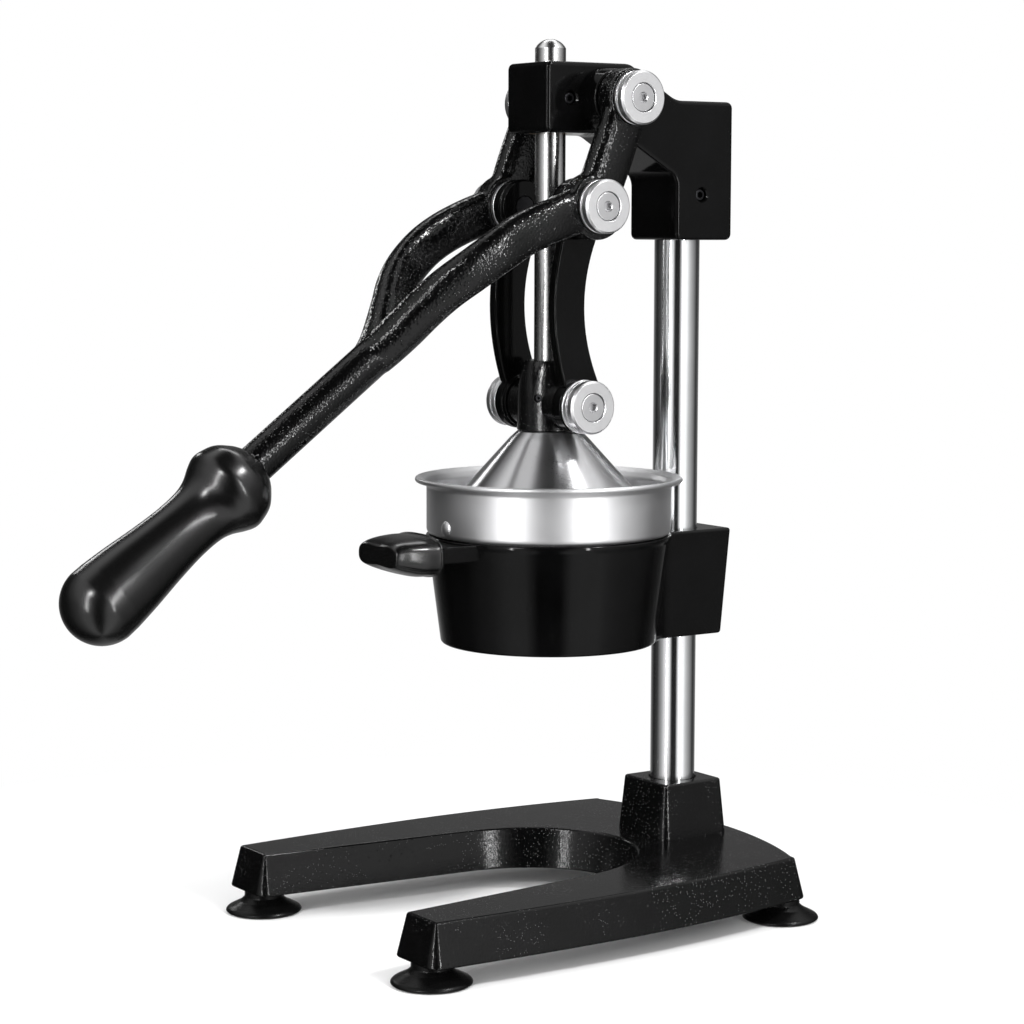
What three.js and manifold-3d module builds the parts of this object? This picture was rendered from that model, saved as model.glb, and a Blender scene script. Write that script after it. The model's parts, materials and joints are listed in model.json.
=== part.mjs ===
import * as THREE from "three";
import { mergeVertices } from "three/addons/utils/BufferGeometryUtils.js";
import Module from "manifold-3d";

// A lever citrus juice press for a kitchen or bar counter.
// Millimetres, +Z up. The lever and the open end of the base face -Y.
// While it is built, the guide rod stands on x = 0, y = 0 and the table is z = 0.
// The whole press is then moved along Y, so that its origin is the middle of its footprint.

const wasm = await Module();
wasm.setup();

// Fits and cuts
const runningGap = 0.3;
const cutOverrun = 1.5;
const weldDistance = 0.001;

// Facets of round pieces, and steps along curves
const rimFacets = 36;
const footFacets = 16;
const capFacets = 16;
const pinFacets = 10;
const hexFacets = 6;
const arcSteps = 3;
const edgeSteps = 2;
const halfTurn = Math.PI;
const quarterTurn = halfTurn / 2;

// Base casting
const baseThickness = 20;
const baseHalfWidth = 92;
const baseWidestReach = 28;
const baseFrontReach = 121.2;
const baseBackReach = 105;
const baseCornerReach = 89.5;
const baseFrontSideRadius = 1357;
const baseBackSideRadius = 619;
const baseBackRadius = 200;
const baseFrontCorner = 1.2;
const baseBackCorner = 2;
const baseDraft = 4.9;
const baseEdge = 1.2;
const baseSideSteps = 8;
const baseBackSteps = 8;
const baseBaySteps = 12;
const bayFrontHalfWidth = 64.6;
const bayRoundHalfWidth = 54;
const bayRoundDepth = 63;
const bayBackReach = 43.2;

// Column socket of the base
const socketHeight = 27.2;
const socketHalfWidth = 17.3;
const socketHalfDepth = 17.6;
const socketDraft = 3;
const socketCorner = 2.2;
const socketEdge = 1.2;
const columnSeatRise = 13.9;

// Suction feet and their studs
const footHeight = 10.6;
const footRadius = 18.64;
const footFrontInset = 13.1;
const footFrontSetback = 6;
const footBackInset = 7;
const footBackSetback = 4.3;
const footCollarRadius = 9.3;
const footCollarHeight = 3.2;
const footHollow = 3.4;
const footTreadWidth = 2.6;
const footLipWidth = 1.6;
const footHollowShares = [0.55, 0.8];
const footFlareShares = [[1, 0.26], [0.975, 0.52], [0.8, 1.15]];
const studRadius = 3;
const studHeadRadius = 5.6;
const studHeadHeight = 1.8;
const studHeadRise = 5.4;
const studReach = 9;

// Column and the bolt that holds it down
const columnRadius = 11.09;
const columnSetback = 76.34;
const columnChamfer = 1.2;
const columnRise = 294.8;
const columnEngagement = 60;
const boltRadius = 5;
const boltReach = 24;
const boltHeadAcross = 16;
const boltHeadHeight = 6;
const boltWasherRadius = 10;
const boltWasherThickness = 2;

// Head casting
const headBlockHeight = 66.7;
const headFrontHeight = 33.1;
const headFrontRise = 16.4;
const headFrontReach = 13.5;
const headBlockBackWall = 18.66;
const headBlockFrontWall = 15.04;
const headGussetReach = 29;
const headGussetDrop = 19.3;
const headSlopeReach = 34;
const headFrontHalfWidth = 16.8;
const headBackHalfWidth = 19.8;
const headEdge = 2;
const headCorner = 3;
const headSoftCorner = 9;
const headSlopeCorner = 14;
const headBossRadius = 15.1;
const headBossEndRadius = 14;
const headBossClearance = 1;
const headBossEdge = 1;

// Set screws, all alike but for their length
const setScrewRadius = 2.9;
const setScrewSocket = 3;
const setScrewSocketDepth = 3.2;
const setScrewSink = 1.4;
const columnScrewRise = 21.8;
const bushScrewDrop = 17;
const hubScrewRadius = 1.7;
const hubScrewSocket = 1.5;
const hubScrewSink = 0.9;
const hubScrewRise = 3.4;
const hubScrewAngle = 0.61;

// Guide rod and its bush
const rodRadius = 7.33;
const rodStand = 11.2;
const rodDome = 4.4;
const rodDomeShares = [0.9, 0.65, 0.35];
const bushRadius = 10.3;

// Pivots: the upper one in the head, the middle one between lever and link, the lower one in the hub
const upperPivotSetback = 18.77;
const upperPivotRise = 65.78;
const crankLength = 53.9;
const crankRestAngle = 0.3753;
const linkLength = 93.5;
const shaftRadius = 5.2;

// Layers across the press, from the middle out
const hubEarHalfSpan = 19;
const linkBossDepth = 8.2;
const linkWebThickness = 5.5;
const washerThickness = 2.4;
const lowerWasherThickness = 1.2;
const leverEyeThickness = 10.9;
const capThickness = 7;

// Pivot caps and their screws
const capRadius = 12.55;
const capEdge = 0.9;
const capGrooveDepth = 0.7;
const capGrooveWidth = 1;
const capGrooveRise = 2;
const capScrewRadius = 3;
const capScrewReach = 9;
const capScrewHeadRadius = 6.5;
const capScrewHeadHeight = 3.6;
const capScrewSink = 0.4;
const capScrewSocket = 4;
const capScrewSocketDepth = 2.4;
const washerRadius = 12.8;

// Links
const linkEyeRadius = 13.2;
const linkBossRadius = 12.5;
const linkWaistBack = 1.1;
const linkWaistFront = 16.3;
const linkNeckHalfWidth = 10;
const linkNeckReach = 10;
const linkEdge = 0.9;
const linkCurveSteps = 6;

// Hub and press cone
const hubRadius = 15.4;
const hubTopRadius = 11.2;
const hubHeight = 33.5;
const hubDrop = 12.6;
const hubEarRadius = 11.7;
const hubShoulderShares = [[1, 0.45], [0.974, 0.645], [0.877, 0.857]];
const coneTopRadius = 15.2;
const coneStepRadius = 18.4;
const coneStepDrop = 2.9;
const coneStepLip = 0.6;
const coneEdgeRadius = 51.5;
const coneDepth = 39.4;
const coneThickness = 2.6;
const coneWasherRadius = 11.5;
const coneWasherThickness = 2;
const coneNutAcross = 19;
const coneNutHeight = 6.5;
const rodTail = 4;

// Funnel
const funnelRimRadius = 62.96;
const funnelBeadRadius = 1.28;
const funnelWallRadius = 58.7;
const funnelRimDrop = 3.2;
const funnelWallHeight = 26.1;
const funnelFloorRound = 5;
const funnelSheet = 1.2;
const funnelSeatRadius = 53.4;
const funnelThroatRadius = 14;
const funnelThroatDrop = 23;

// Spout under the funnel's throat
const spoutRadius = 12.4;
const spoutLength = 21;
const spoutNeck = 2.4;
const spoutLap = 4;
const coneStandoff = 8.6;

// Strainer
const strainerFlangeRadius = 53.2;
const strainerSheet = 1.2;
const strainerStandoff = 2.4;
const strainerTopRadius = 27;
const strainerCrown = 1.6;
const strainerCrownWidth = 4.8;
const strainerHoleRadius = 2.6;
const strainerRowShares = [0.2, 0.5, 0.8];
const strainerRowCounts = [7, 9, 12];

// Cup ring that carries the funnel
const cupHeight = 52.3;
const cupRimRadius = 59;
const cupTopRadius = 58.2;
const cupFootRadius = 51.8;
const cupWall = 4;
const cupRimHeight = 1.6;
const cupEdge = 1.1;
const cupBlockHalfWidth = 17;
const cupBlockBackWall = 11.6;
const cupBlockDraft = 5.7;
const cupBlockTopDrop = 1.8;
const cupBlockFlare = 15;
const cupBlockCorner = 2.5;
const cupBlockFlareSpread = 15;
const cupBlockEdge = 1.5;
const cupScrewDrop = 26;

// Tang of the cup ring and its grip
const tangThickness = 7.7;
const tangDrop = 0.4;
const tangReach = 73.3;
const tangEdge = 0.9;
const tangInset = 0.5;
const tongueHalfWidth = 5;
const tongueHalfThickness = 2.8;
const tongueLength = 15;
const cupGripLength = 22.9;
const cupGripHalfWidth = 21.5;
const cupGripHalfHeight = 10;
const cupGripSink = 1.1;
const cupGripSquareness = 2.9;
const cupGripShares = [
  [0, 1, 1, 0.95, 0],
  [0.05, 0.985, 0.965, 1, 0],
  [0.35, 0.963, 0.945, 0.85, 0],
  [0.65, 0.902, 0.84, 0.35, 0.04],
  [0.85, 0.837, 0.73, 0.08, 0.13],
  [0.95, 0.805, 0.63, 0.08, 0.2],
  [1, 0.763, 0.53, 0.26, 0.25],
];
const tangHalfWidth = cupGripHalfWidth - tangInset;
const gripSectionPoints = 20;

// Lever casting
const leverEyeRadius = 14;
const leverMiddleEyeRadius = 15.5;
const leverEyeEdge = 1.2;
const leverDepth = 22.4;
const leverThickness = 13.2;
const forkReach = 97;
const forkDrop = 68.6;
const shaftDropAngle = 0.6435;
const leverShaftRadius = 9.1;
const leverShaftLength = 79;
const leverTangRadius = 7.6;
const leverTangLength = 84;
const leverSteps = 16;
const leverSectionPoints = 14;
const sectionSquareness = 2.5;
const crankSectionShares = [[0, 0.81], [0.3, 1], [0.7, 1], [1, 0.81]];
const forkPathShares = [
  [1, 0, 0],
  [1.01, 0.1, 0.035],
  [1.01, 0.219, 0.089],
  [0.96, 0.386, 0.185],
  [0.93, 0.501, 0.281],
  [0.8, 0.635, 0.422],
  [0.6, 0.737, 0.552],
  [0.4, 0.81, 0.68],
  [0.22, 0.885, 0.82],
  [0.08, 0.95, 0.93],
  [0, 1, 1],
];
const forkWidthShares = [[0, 0.81], [0.12, 1], [0.45, 1.02], [0.7, 1.16], [0.85, 1.3], [1, 1.38]];
const forkDepthShares = [[0, 1], [0.12, 0.93], [0.5, 0.91], [0.8, 0.87], [1, 0.8125]];

// Lever grip, along the shaft from its collar
const gripLength = 110.8;
const gripBulbRadius = 18.5;
const gripMouthRadius = 10.3;
const gripSteps = 14;
const bulbSteps = 5;
const gripProfileShares = [
  [-0.0035, 0.61],
  [0.018, 0.77],
  [0.065, 1.01],
  [0.12, 1.115],
  [0.155, 1.125],
  [0.195, 1.03],
  [0.25, 0.86],
  [0.31, 0.775],
  [0.41, 0.765],
  [0.54, 0.83],
  [0.68, 0.93],
  [0.79, 0.99],
];

// Heights, worked out from the table up
const baseUnderside = footHeight + runningGap;
const baseTop = baseUnderside + baseThickness;
const socketTop = baseTop + socketHeight;
const columnSeat = baseUnderside + columnSeatRise;
const boltHeadUnderside = baseUnderside + runningGap;
const boltHeadTop = boltHeadUnderside + boltHeadHeight;
const boltWasherUnderside = boltHeadTop + runningGap;
const boltWasherTop = boltWasherUnderside + boltWasherThickness;
const boltWasherSeat = boltWasherTop + runningGap;
const headUnderside = baseTop + columnRise;
const headBackTop = headUnderside + headBlockHeight;
const headTop = headBackTop + headFrontRise;
const headFrontUnderside = headTop - headFrontHeight;
const headBackReach = columnSetback + headBlockBackWall;
const headBlockReach = columnSetback - headBlockFrontWall;
const rodTop = headTop + rodStand;
const upperPivot = new THREE.Vector2(upperPivotSetback, headUnderside + upperPivotRise);
const middlePivot = new THREE.Vector2(
  upperPivot.x - crankLength * Math.sin(crankRestAngle),
  upperPivot.y - crankLength * Math.cos(crankRestAngle),
);
const lowerPivot = new THREE.Vector2(
  0,
  middlePivot.y - Math.sqrt(linkLength ** 2 - middlePivot.x ** 2),
);
const hubBottom = lowerPivot.y - hubDrop;
const hubTop = hubBottom + hubHeight;
const coneTop = hubBottom - runningGap;
const coneEdgeHeight = coneTop - coneDepth;
const funnelFloor = coneEdgeHeight - coneStandoff;
const funnelSeat = funnelFloor - funnelSheet;
const funnelThroat = funnelSeat - funnelThroatDrop;
const cupTop = funnelSeat - runningGap;
const cupBottom = cupTop - cupHeight;
const cupBlockBackReach = columnSetback + columnRadius + runningGap + cupBlockBackWall;

// Places across the press
const linkInner = hubEarHalfSpan + runningGap;
const linkOuter = linkInner + linkBossDepth;
const middleWasherInner = linkOuter + runningGap;
const leverInner = middleWasherInner + washerThickness + runningGap;
const leverOuter = leverInner + leverEyeThickness;
const outerCapInner = leverOuter + runningGap;
const lowerWasherInner = linkOuter + runningGap;
const lowerCapInner = lowerWasherInner + lowerWasherThickness + runningGap;
const leverMiddle = (leverInner + leverOuter) / 2;
const headBossHalfSpan = leverInner - headBossClearance;

// Materials, from the photograph
const paint = (color, roughness, metalness) =>
  new THREE.MeshStandardMaterial({ color, roughness, metalness });
const hammered = paint(0x2b2d30, 0.42, 0.3);
const satinBlack = paint(0x26282b, 0.5, 0.25);
const chrome = paint(0xd5d8db, 0.08, 1);
const brushedSteel = paint(0xb4b6b8, 0.3, 1);
const stainless = paint(0xc9cbcd, 0.22, 1);
const aluminium = paint(0xc3c4c6, 0.33, 1);
const darkSteel = paint(0x55575a, 0.45, 0.9);
const rubber = paint(0x121315, 0.38, 0);
const phenolic = paint(0x17181a, 0.3, 0);
const bronze = paint(0x9c7a45, 0.4, 0.9);

// Solids

function manifoldOf(positions, triangles) {
  return new wasm.Manifold(
    new wasm.Mesh({ numProp: 3, vertProperties: positions, triVerts: triangles }),
  );
}

// A closed geometry as a solid with its faces turned out.
function solid(geometry) {
  const bare = geometry.clone();
  bare.deleteAttribute("normal");
  bare.deleteAttribute("uv");
  const merged = mergeVertices(bare, weldDistance);
  const positions = merged.attributes.position.array;
  const index = merged.index.array;
  const triangles = [];
  for (let i = 0; i < index.length; i += 3) {
    const [a, b, c] = [index[i], index[i + 1], index[i + 2]];
    if (a !== b && b !== c && c !== a) triangles.push(a, b, c);
  }
  const made = manifoldOf(positions, new Uint32Array(triangles));
  return made.volume() < 0 ? manifoldOf(positions, new Uint32Array(triangles.reverse())) : made;
}

function geometryOf(made) {
  const mesh = made.getMesh();
  const indexed = new THREE.BufferGeometry();
  indexed.setAttribute("position", new THREE.BufferAttribute(mesh.vertProperties, mesh.numProp));
  indexed.setIndex(new THREE.BufferAttribute(mesh.triVerts, 1));
  const flat = indexed.toNonIndexed();
  flat.computeVertexNormals();
  return flat;
}

function join(first, ...others) {
  return others.reduce((sum, other) => sum.add(other), first);
}

function cut(first, ...others) {
  return others.reduce((rest, other) => rest.subtract(other), first);
}

// Shapes

// A profile of [radius, height] points turned about the Z axis.
function turned(profile, facets) {
  const points = profile.map(([radius, height]) => new THREE.Vector2(radius, height));
  return new THREE.LatheGeometry(points, facets).rotateX(quarterTurn);
}

function rod(radius, low, high, facets, chamfer = 0) {
  return turned(
    [
      [0, low],
      [radius - chamfer, low],
      [radius, low + chamfer],
      [radius, high - chamfer],
      [radius - chamfer, high],
      [0, high],
    ],
    facets,
  );
}

function ring(inner, outer, low, high, facets) {
  return turned([[inner, low], [outer, low], [outer, high], [inner, high], [inner, low]], facets);
}

function hexagon(across, low, high) {
  return rod(across / 2 / Math.cos(halfTurn / hexFacets), low, high, hexFacets);
}

// From the Z axis to the X axis or the Y axis
const alongX = (geometry) => geometry.rotateY(quarterTurn);
const alongY = (geometry) => geometry.rotateX(-quarterTurn);

// From a side view, drawn in Y and Z, to the part's frame
const sideView = new THREE.Matrix4().makeBasis(
  new THREE.Vector3(0, 1, 0),
  new THREE.Vector3(0, 0, 1),
  new THREE.Vector3(1, 0, 0),
);

const mirrored = (geometry) => geometry.clone().scale(-1, 1, 1);

// The points of a polygon whose corners, [x, y, radius], are rounded.
function rounded(corners) {
  const points = [];
  corners.forEach(([x, y, radius], i) => {
    const corner = new THREE.Vector2(x, y);
    if (!radius) {
      points.push(corner);
      return;
    }
    const before = corners.at(i - 1);
    const after = corners[(i + 1) % corners.length];
    const back = new THREE.Vector2(before[0], before[1]).sub(corner).normalize();
    const ahead = new THREE.Vector2(after[0], after[1]).sub(corner).normalize();
    const half = Math.acos(back.dot(ahead)) / 2;
    const inward = back.clone().add(ahead).normalize();
    const centre = corner.clone().addScaledVector(inward, radius / Math.sin(half));
    const start = corner.clone().addScaledVector(back, radius / Math.tan(half)).sub(centre);
    const end = corner.clone().addScaledVector(ahead, radius / Math.tan(half)).sub(centre);
    const turn = Math.atan2(start.cross(end), start.dot(end));
    for (let k = 0; k <= arcSteps; k++) {
      points.push(start.clone().rotateAround(new THREE.Vector2(), (turn * k) / arcSteps).add(centre));
    }
  });
  return points;
}

// An outline drawn in by inset, or let out by a negative one. It runs anticlockwise.
function drawnIn(outline, inset) {
  return outline.map((point, i) => {
    const before = point.clone().sub(outline.at(i - 1)).normalize();
    const after = outline[(i + 1) % outline.length].clone().sub(point).normalize();
    const sum = new THREE.Vector2(-before.y - after.y, before.x + after.x);
    return point.clone().addScaledVector(sum, inset / (1 + before.dot(after)));
  });
}

// A closed skin over rings of as many points each, with the same caps on both ends.
function skin(rings, caps) {
  const count = rings[0].length;
  const last = (rings.length - 1) * count;
  const index = [];
  for (let i = 0; i < rings.length - 1; i++) {
    for (let j = 0; j < count; j++) {
      const a = i * count + j;
      const b = i * count + ((j + 1) % count);
      index.push(a, b, b + count, a, b + count, a + count);
    }
  }
  for (const [a, b, c] of caps) index.push(c, b, a, last + a, last + b, last + c);
  const geometry = new THREE.BufferGeometry().setFromPoints(rings.flat());
  geometry.setIndex(index);
  return geometry;
}

// An outline stacked at several levels, [height, inset].
function stack(outline, levels) {
  const turnedRound = THREE.ShapeUtils.isClockWise(outline);
  const flat = turnedRound ? [...outline].reverse() : outline;
  const rings = levels.map(([height, inset]) =>
    drawnIn(flat, inset).map((point) => new THREE.Vector3(point.x, point.y, height)),
  );
  return skin(rings, THREE.ShapeUtils.triangulateShape(flat, []));
}

// The levels of a slab whose rims are rounded by edge and whose foot is let out by draft.
function slab(low, high, edge, draft = 0) {
  const levels = [];
  for (let k = 0; k <= edgeSteps; k++) {
    const angle = (quarterTurn * k) / edgeSteps;
    const depth = edge * (1 - Math.cos(angle));
    const inset = edge * (1 - Math.sin(angle));
    levels.splice(k, 0, [low + depth, inset], [high - depth, inset]);
  }
  levels.sort((a, b) => a[0] - b[0]);
  return levels.map(([height, inset]) => [height, inset - (draft * (high - height)) / (high - low)]);
}

// A run of sections along a path: each has its centre, its travel, and its half sizes.
function sweep(sections, pointCount, squareness) {
  const sideways = new THREE.Vector3(1, 0, 0);
  const rings = sections.map(({ centre, travel, halfWidth, halfDepth, valley = 0 }) => {
    const across = sideways.clone().addScaledVector(travel, -sideways.dot(travel)).normalize();
    const down = travel.clone().cross(across);
    return Array.from({ length: pointCount }, (_, k) => {
      const angle = (2 * halfTurn * k) / pointCount;
      const swell = (value) => Math.sign(value) * Math.abs(value) ** (2 / squareness);
      const waist = 1 - valley * (1 - Math.abs(Math.cos(angle))) ** 2;
      return centre
        .clone()
        .addScaledVector(across, halfWidth * swell(Math.cos(angle)))
        .addScaledVector(down, halfDepth * waist * swell(Math.sin(angle)));
    });
  });
  const fan = Array.from({ length: pointCount - 2 }, (_, k) => [0, k + 1, k + 2]);
  return skin(rings, fan);
}

// A value read off a table of [share, value] rows.
function readOff(table, share) {
  const next = Math.max(1, table.findIndex(([at]) => at >= share));
  const [from, low] = table[next - 1];
  const [to, high] = table[next];
  return THREE.MathUtils.mapLinear(share, from, to, low, high);
}

// The closed profile of a sheet that follows a line of [radius, height] points.
function sheet(line, thickness) {
  const points = line.map(([radius, height]) => new THREE.Vector2(radius, height));
  const other = points.map((point, i) => {
    const before = point.clone().sub(points[Math.max(i - 1, 0)]).normalize();
    const after = points[Math.min(i + 1, points.length - 1)].clone().sub(point).normalize();
    const from = i ? before : after;
    const to = i < points.length - 1 ? after : before;
    const sum = new THREE.Vector2(-from.y - to.y, from.x + to.x);
    return point.clone().addScaledVector(sum, thickness / (1 + from.dot(to)));
  });
  return [...points, ...other.reverse(), points[0]].map((point) => [Math.max(point.x, 0), point.y]);
}

// Scene graph helpers

function piece(name, made, material, place = {}) {
  const mesh = new THREE.Mesh(geometryOf(made), material);
  mesh.name = name;
  if (place.position) mesh.position.copy(place.position);
  if (place.rotation) mesh.rotation.copy(place.rotation);
  return mesh;
}

function group(...children) {
  return new THREE.Group().add(...children);
}

const sides = [
  ["right", 1],
  ["left", -1],
];

// A turned piece, made along Z, laid across the press on a pivot, with its outer end out.
function onPivot(pivot, side, inner) {
  return {
    position: new THREE.Vector3(side * inner, pivot.x, pivot.y),
    rotation: new THREE.Euler(0, side * quarterTurn, 0),
  };
}

// Base casting

function baseHalfWidthAt(y) {
  const radius = y < -baseWidestReach ? baseFrontSideRadius : baseBackSideRadius;
  return baseHalfWidth - radius + Math.sqrt(radius ** 2 - (y + baseWidestReach) ** 2);
}

function baseBackAt(x) {
  return baseBackReach - baseBackRadius + Math.sqrt(baseBackRadius ** 2 - x ** 2);
}

const footFront = footFrontSetback - baseFrontReach;
const footBack = baseCornerReach - footBackSetback;
const footPlaces = [
  ["front_right", baseHalfWidthAt(footFront) - footFrontInset, footFront],
  ["front_left", footFrontInset - baseHalfWidthAt(footFront), footFront],
  ["rear_right", baseHalfWidthAt(footBack) - footBackInset, footBack],
  ["rear_left", footBackInset - baseHalfWidthAt(footBack), footBack],
];

// Half of the outline, from the middle of the bay round to the middle of the back edge.
function baseHalfOutline() {
  const bayCentre = bayBackReach - bayRoundDepth;
  const corner = new THREE.Vector2(
    bayFrontHalfWidth / bayRoundHalfWidth,
    (-baseFrontReach - bayCentre) / bayRoundDepth,
  );
  const tangent = corner.angle() - 2 * halfTurn + Math.acos(1 / corner.length());
  const corners = [];
  for (let k = 0; k <= baseBaySteps / 2; k++) {
    const angle = THREE.MathUtils.lerp(quarterTurn, tangent, (2 * k) / baseBaySteps);
    corners.push([
      bayRoundHalfWidth * Math.cos(angle),
      bayCentre + bayRoundDepth * Math.sin(angle),
      0,
    ]);
  }
  corners.push([bayFrontHalfWidth, -baseFrontReach, baseFrontCorner]);
  corners.push([baseHalfWidthAt(-baseFrontReach), -baseFrontReach, baseFrontCorner]);
  for (let k = 1; k < baseSideSteps; k++) {
    const y = THREE.MathUtils.lerp(-baseFrontReach, baseCornerReach, k / baseSideSteps);
    corners.push([baseHalfWidthAt(y), y, 0]);
  }
  const cornerX = baseHalfWidthAt(baseCornerReach);
  corners.push([cornerX, baseCornerReach, baseBackCorner]);
  for (let k = baseBackSteps - 1; k > 0; k--) {
    const x = (cornerX * k) / baseBackSteps;
    corners.push([x, baseBackAt(x), 0]);
  }
  corners.push([0, baseBackReach, 0]);
  return corners;
}

function baseCasting() {
  const half = baseHalfOutline();
  const mirror = half
    .slice(1, -1)
    .reverse()
    .map(([x, y, radius]) => [-x, y, radius]);
  const outline = rounded([...half, ...mirror]);
  const plate = solid(stack(outline, slab(baseUnderside, baseTop, baseEdge, baseDraft)));
  const socketOutline = rounded(
    [[1, 1], [-1, 1], [-1, -1], [1, -1]].map(([x, y]) => [
      x * socketHalfWidth,
      columnSetback + y * socketHalfDepth,
      socketCorner,
    ]),
  );
  const socketLevels = slab(baseTop - socketEdge, socketTop, socketEdge, socketDraft);
  const socket = solid(stack(socketOutline, socketLevels));
  const bore = rod(columnRadius + runningGap, columnSeat, socketTop + cutOverrun, capFacets);
  const boltHole = rod(boltRadius + runningGap, baseUnderside, columnSeat + cutOverrun, pinFacets);
  const counterbore = rod(
    boltWasherRadius + runningGap,
    baseUnderside - cutOverrun,
    boltWasherSeat,
    capFacets,
  );
  const holes = [bore, boltHole, counterbore].map((hole) => solid(hole.translate(0, columnSetback, 0)));
  const studHoles = footPlaces.map(([, x, y]) =>
    solid(
      rod(
        studRadius + runningGap,
        baseUnderside - cutOverrun,
        baseUnderside + studReach + runningGap,
        pinFacets,
      ).translate(x, y, 0),
    ),
  );
  return cut(join(plate, socket), ...holes, ...studHoles);
}

// Feet

function suctionFoot() {
  const collarFoot = footHeight - footCollarHeight;
  const treadOuter = footRadius - footLipWidth;
  const treadInner = treadOuter - footTreadWidth;
  const [hollowOut, hollowUp] = footHollowShares;
  const body = turned(
    [
      [0, footHollow],
      [treadInner * hollowOut, footHollow * hollowUp],
      [treadInner, 0],
      [treadOuter, 0],
      ...footFlareShares.map(([out, up]) => [footRadius * out, footHollow * up]),
      [footCollarRadius, collarFoot],
      [footCollarRadius, footHeight],
      [0, footHeight],
    ],
    footFacets,
  );
  const pocket = rod(
    studHeadRadius + runningGap,
    studHeadRise - runningGap,
    studHeadRise + studHeadHeight + runningGap,
    pinFacets,
  );
  const bore = rod(studRadius + runningGap, studHeadRise, footHeight + cutOverrun, pinFacets);
  return cut(solid(body), solid(pocket), solid(bore));
}

function footStud() {
  return solid(
    turned(
      [
        [0, studHeadRise],
        [studHeadRadius, studHeadRise],
        [studHeadRadius, studHeadRise + studHeadHeight],
        [studRadius, studHeadRise + studHeadHeight],
        [studRadius, baseUnderside + studReach],
        [0, baseUnderside + studReach],
      ],
      pinFacets,
    ),
  );
}

function feet() {
  const foot = suctionFoot();
  const stud = footStud();
  return group(
    ...footPlaces.flatMap(([place, x, y]) => {
      const position = new THREE.Vector3(x, y, 0);
      return [
        piece("suction_foot_" + place, foot, rubber, { position }),
        piece("foot_stud_" + place, stud, darkSteel, { position }),
      ];
    }),
  );
}

// Column with its bolt

function column() {
  const low = columnSeat + runningGap;
  const high = headUnderside + columnEngagement;
  const bar = rod(columnRadius, low, high, capFacets, columnChamfer);
  const tapped = rod(
    boltRadius + runningGap,
    low - cutOverrun,
    columnSeat + boltReach + runningGap,
    pinFacets,
  );
  return cut(solid(bar), solid(tapped));
}

function columnBolt() {
  const head = hexagon(boltHeadAcross, boltHeadUnderside, boltHeadTop);
  const shank = rod(boltRadius, boltHeadTop - boltHeadHeight / 2, columnSeat + boltReach, pinFacets);
  return join(solid(head), solid(shank));
}

function columnWasher() {
  return solid(
    ring(boltRadius + runningGap, boltWasherRadius, boltWasherUnderside, boltWasherTop, capFacets),
  );
}

// Set screw along Z: the tip at zero, the socket end up.
function setScrew(radius, length, across) {
  const body = rod(radius, 0, length, pinFacets);
  const socket = hexagon(across, length - setScrewSocketDepth, length + cutOverrun);
  return cut(solid(body), solid(socket));
}

// Head casting

function headHalfWidthAt(y) {
  return THREE.MathUtils.mapLinear(
    y,
    -headFrontReach,
    headBackReach,
    headFrontHalfWidth,
    headBackHalfWidth,
  );
}

function headCasting() {
  const outline = rounded([
    [-headFrontReach, headFrontUnderside, headCorner],
    [headGussetReach, headFrontUnderside, headSoftCorner],
    [headBlockReach, headFrontUnderside - headGussetDrop, headSoftCorner],
    [headBlockReach, headUnderside, headCorner],
    [headBackReach, headUnderside, headCorner],
    [headBackReach, headBackTop, headCorner],
    [headBlockReach, headBackTop, headSlopeCorner],
    [headSlopeReach, headTop, headSoftCorner],
    [-headFrontReach, headTop, headCorner],
  ]);
  const blank = stack(outline, slab(-headBackHalfWidth, headBackHalfWidth, headEdge));
  blank.applyMatrix4(sideView);
  const place = blank.attributes.position;
  for (let i = 0; i < place.count; i++) {
    place.setX(i, (place.getX(i) * headHalfWidthAt(place.getY(i))) / headBackHalfWidth);
  }
  const bosses = turned(
    [
      [0, -headBossHalfSpan],
      [headBossEndRadius - headBossEdge, -headBossHalfSpan],
      [headBossEndRadius, headBossEdge - headBossHalfSpan],
      [headBossRadius, -headFrontHalfWidth],
      [headBossRadius, headFrontHalfWidth],
      [headBossEndRadius, headBossHalfSpan - headBossEdge],
      [headBossEndRadius - headBossEdge, headBossHalfSpan],
      [0, headBossHalfSpan],
    ],
    capFacets,
  );
  const across = headBossHalfSpan + cutOverrun;
  const pivotBore = rod(shaftRadius + runningGap, -across, across, pinFacets);
  const bushBore = rod(
    bushRadius + runningGap,
    headFrontUnderside - cutOverrun,
    headTop + cutOverrun,
    capFacets,
  );
  const columnBore = rod(
    columnRadius + runningGap,
    headUnderside - cutOverrun,
    headUnderside + columnEngagement + runningGap,
    capFacets,
  ).translate(0, columnSetback, 0);
  const screwHoleEnd = headBackHalfWidth + cutOverrun;
  const screwHole = () => alongX(rod(setScrewRadius + runningGap, 0, screwHoleEnd, pinFacets));
  return cut(
    join(solid(blank), solid(alongX(bosses).translate(0, upperPivot.x, upperPivot.y))),
    solid(alongX(pivotBore).translate(0, upperPivot.x, upperPivot.y)),
    solid(bushBore),
    solid(columnBore),
    solid(screwHole().translate(0, 0, headTop - bushScrewDrop)),
    solid(screwHole().translate(0, columnSetback, headUnderside + columnScrewRise)),
  );
}

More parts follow.
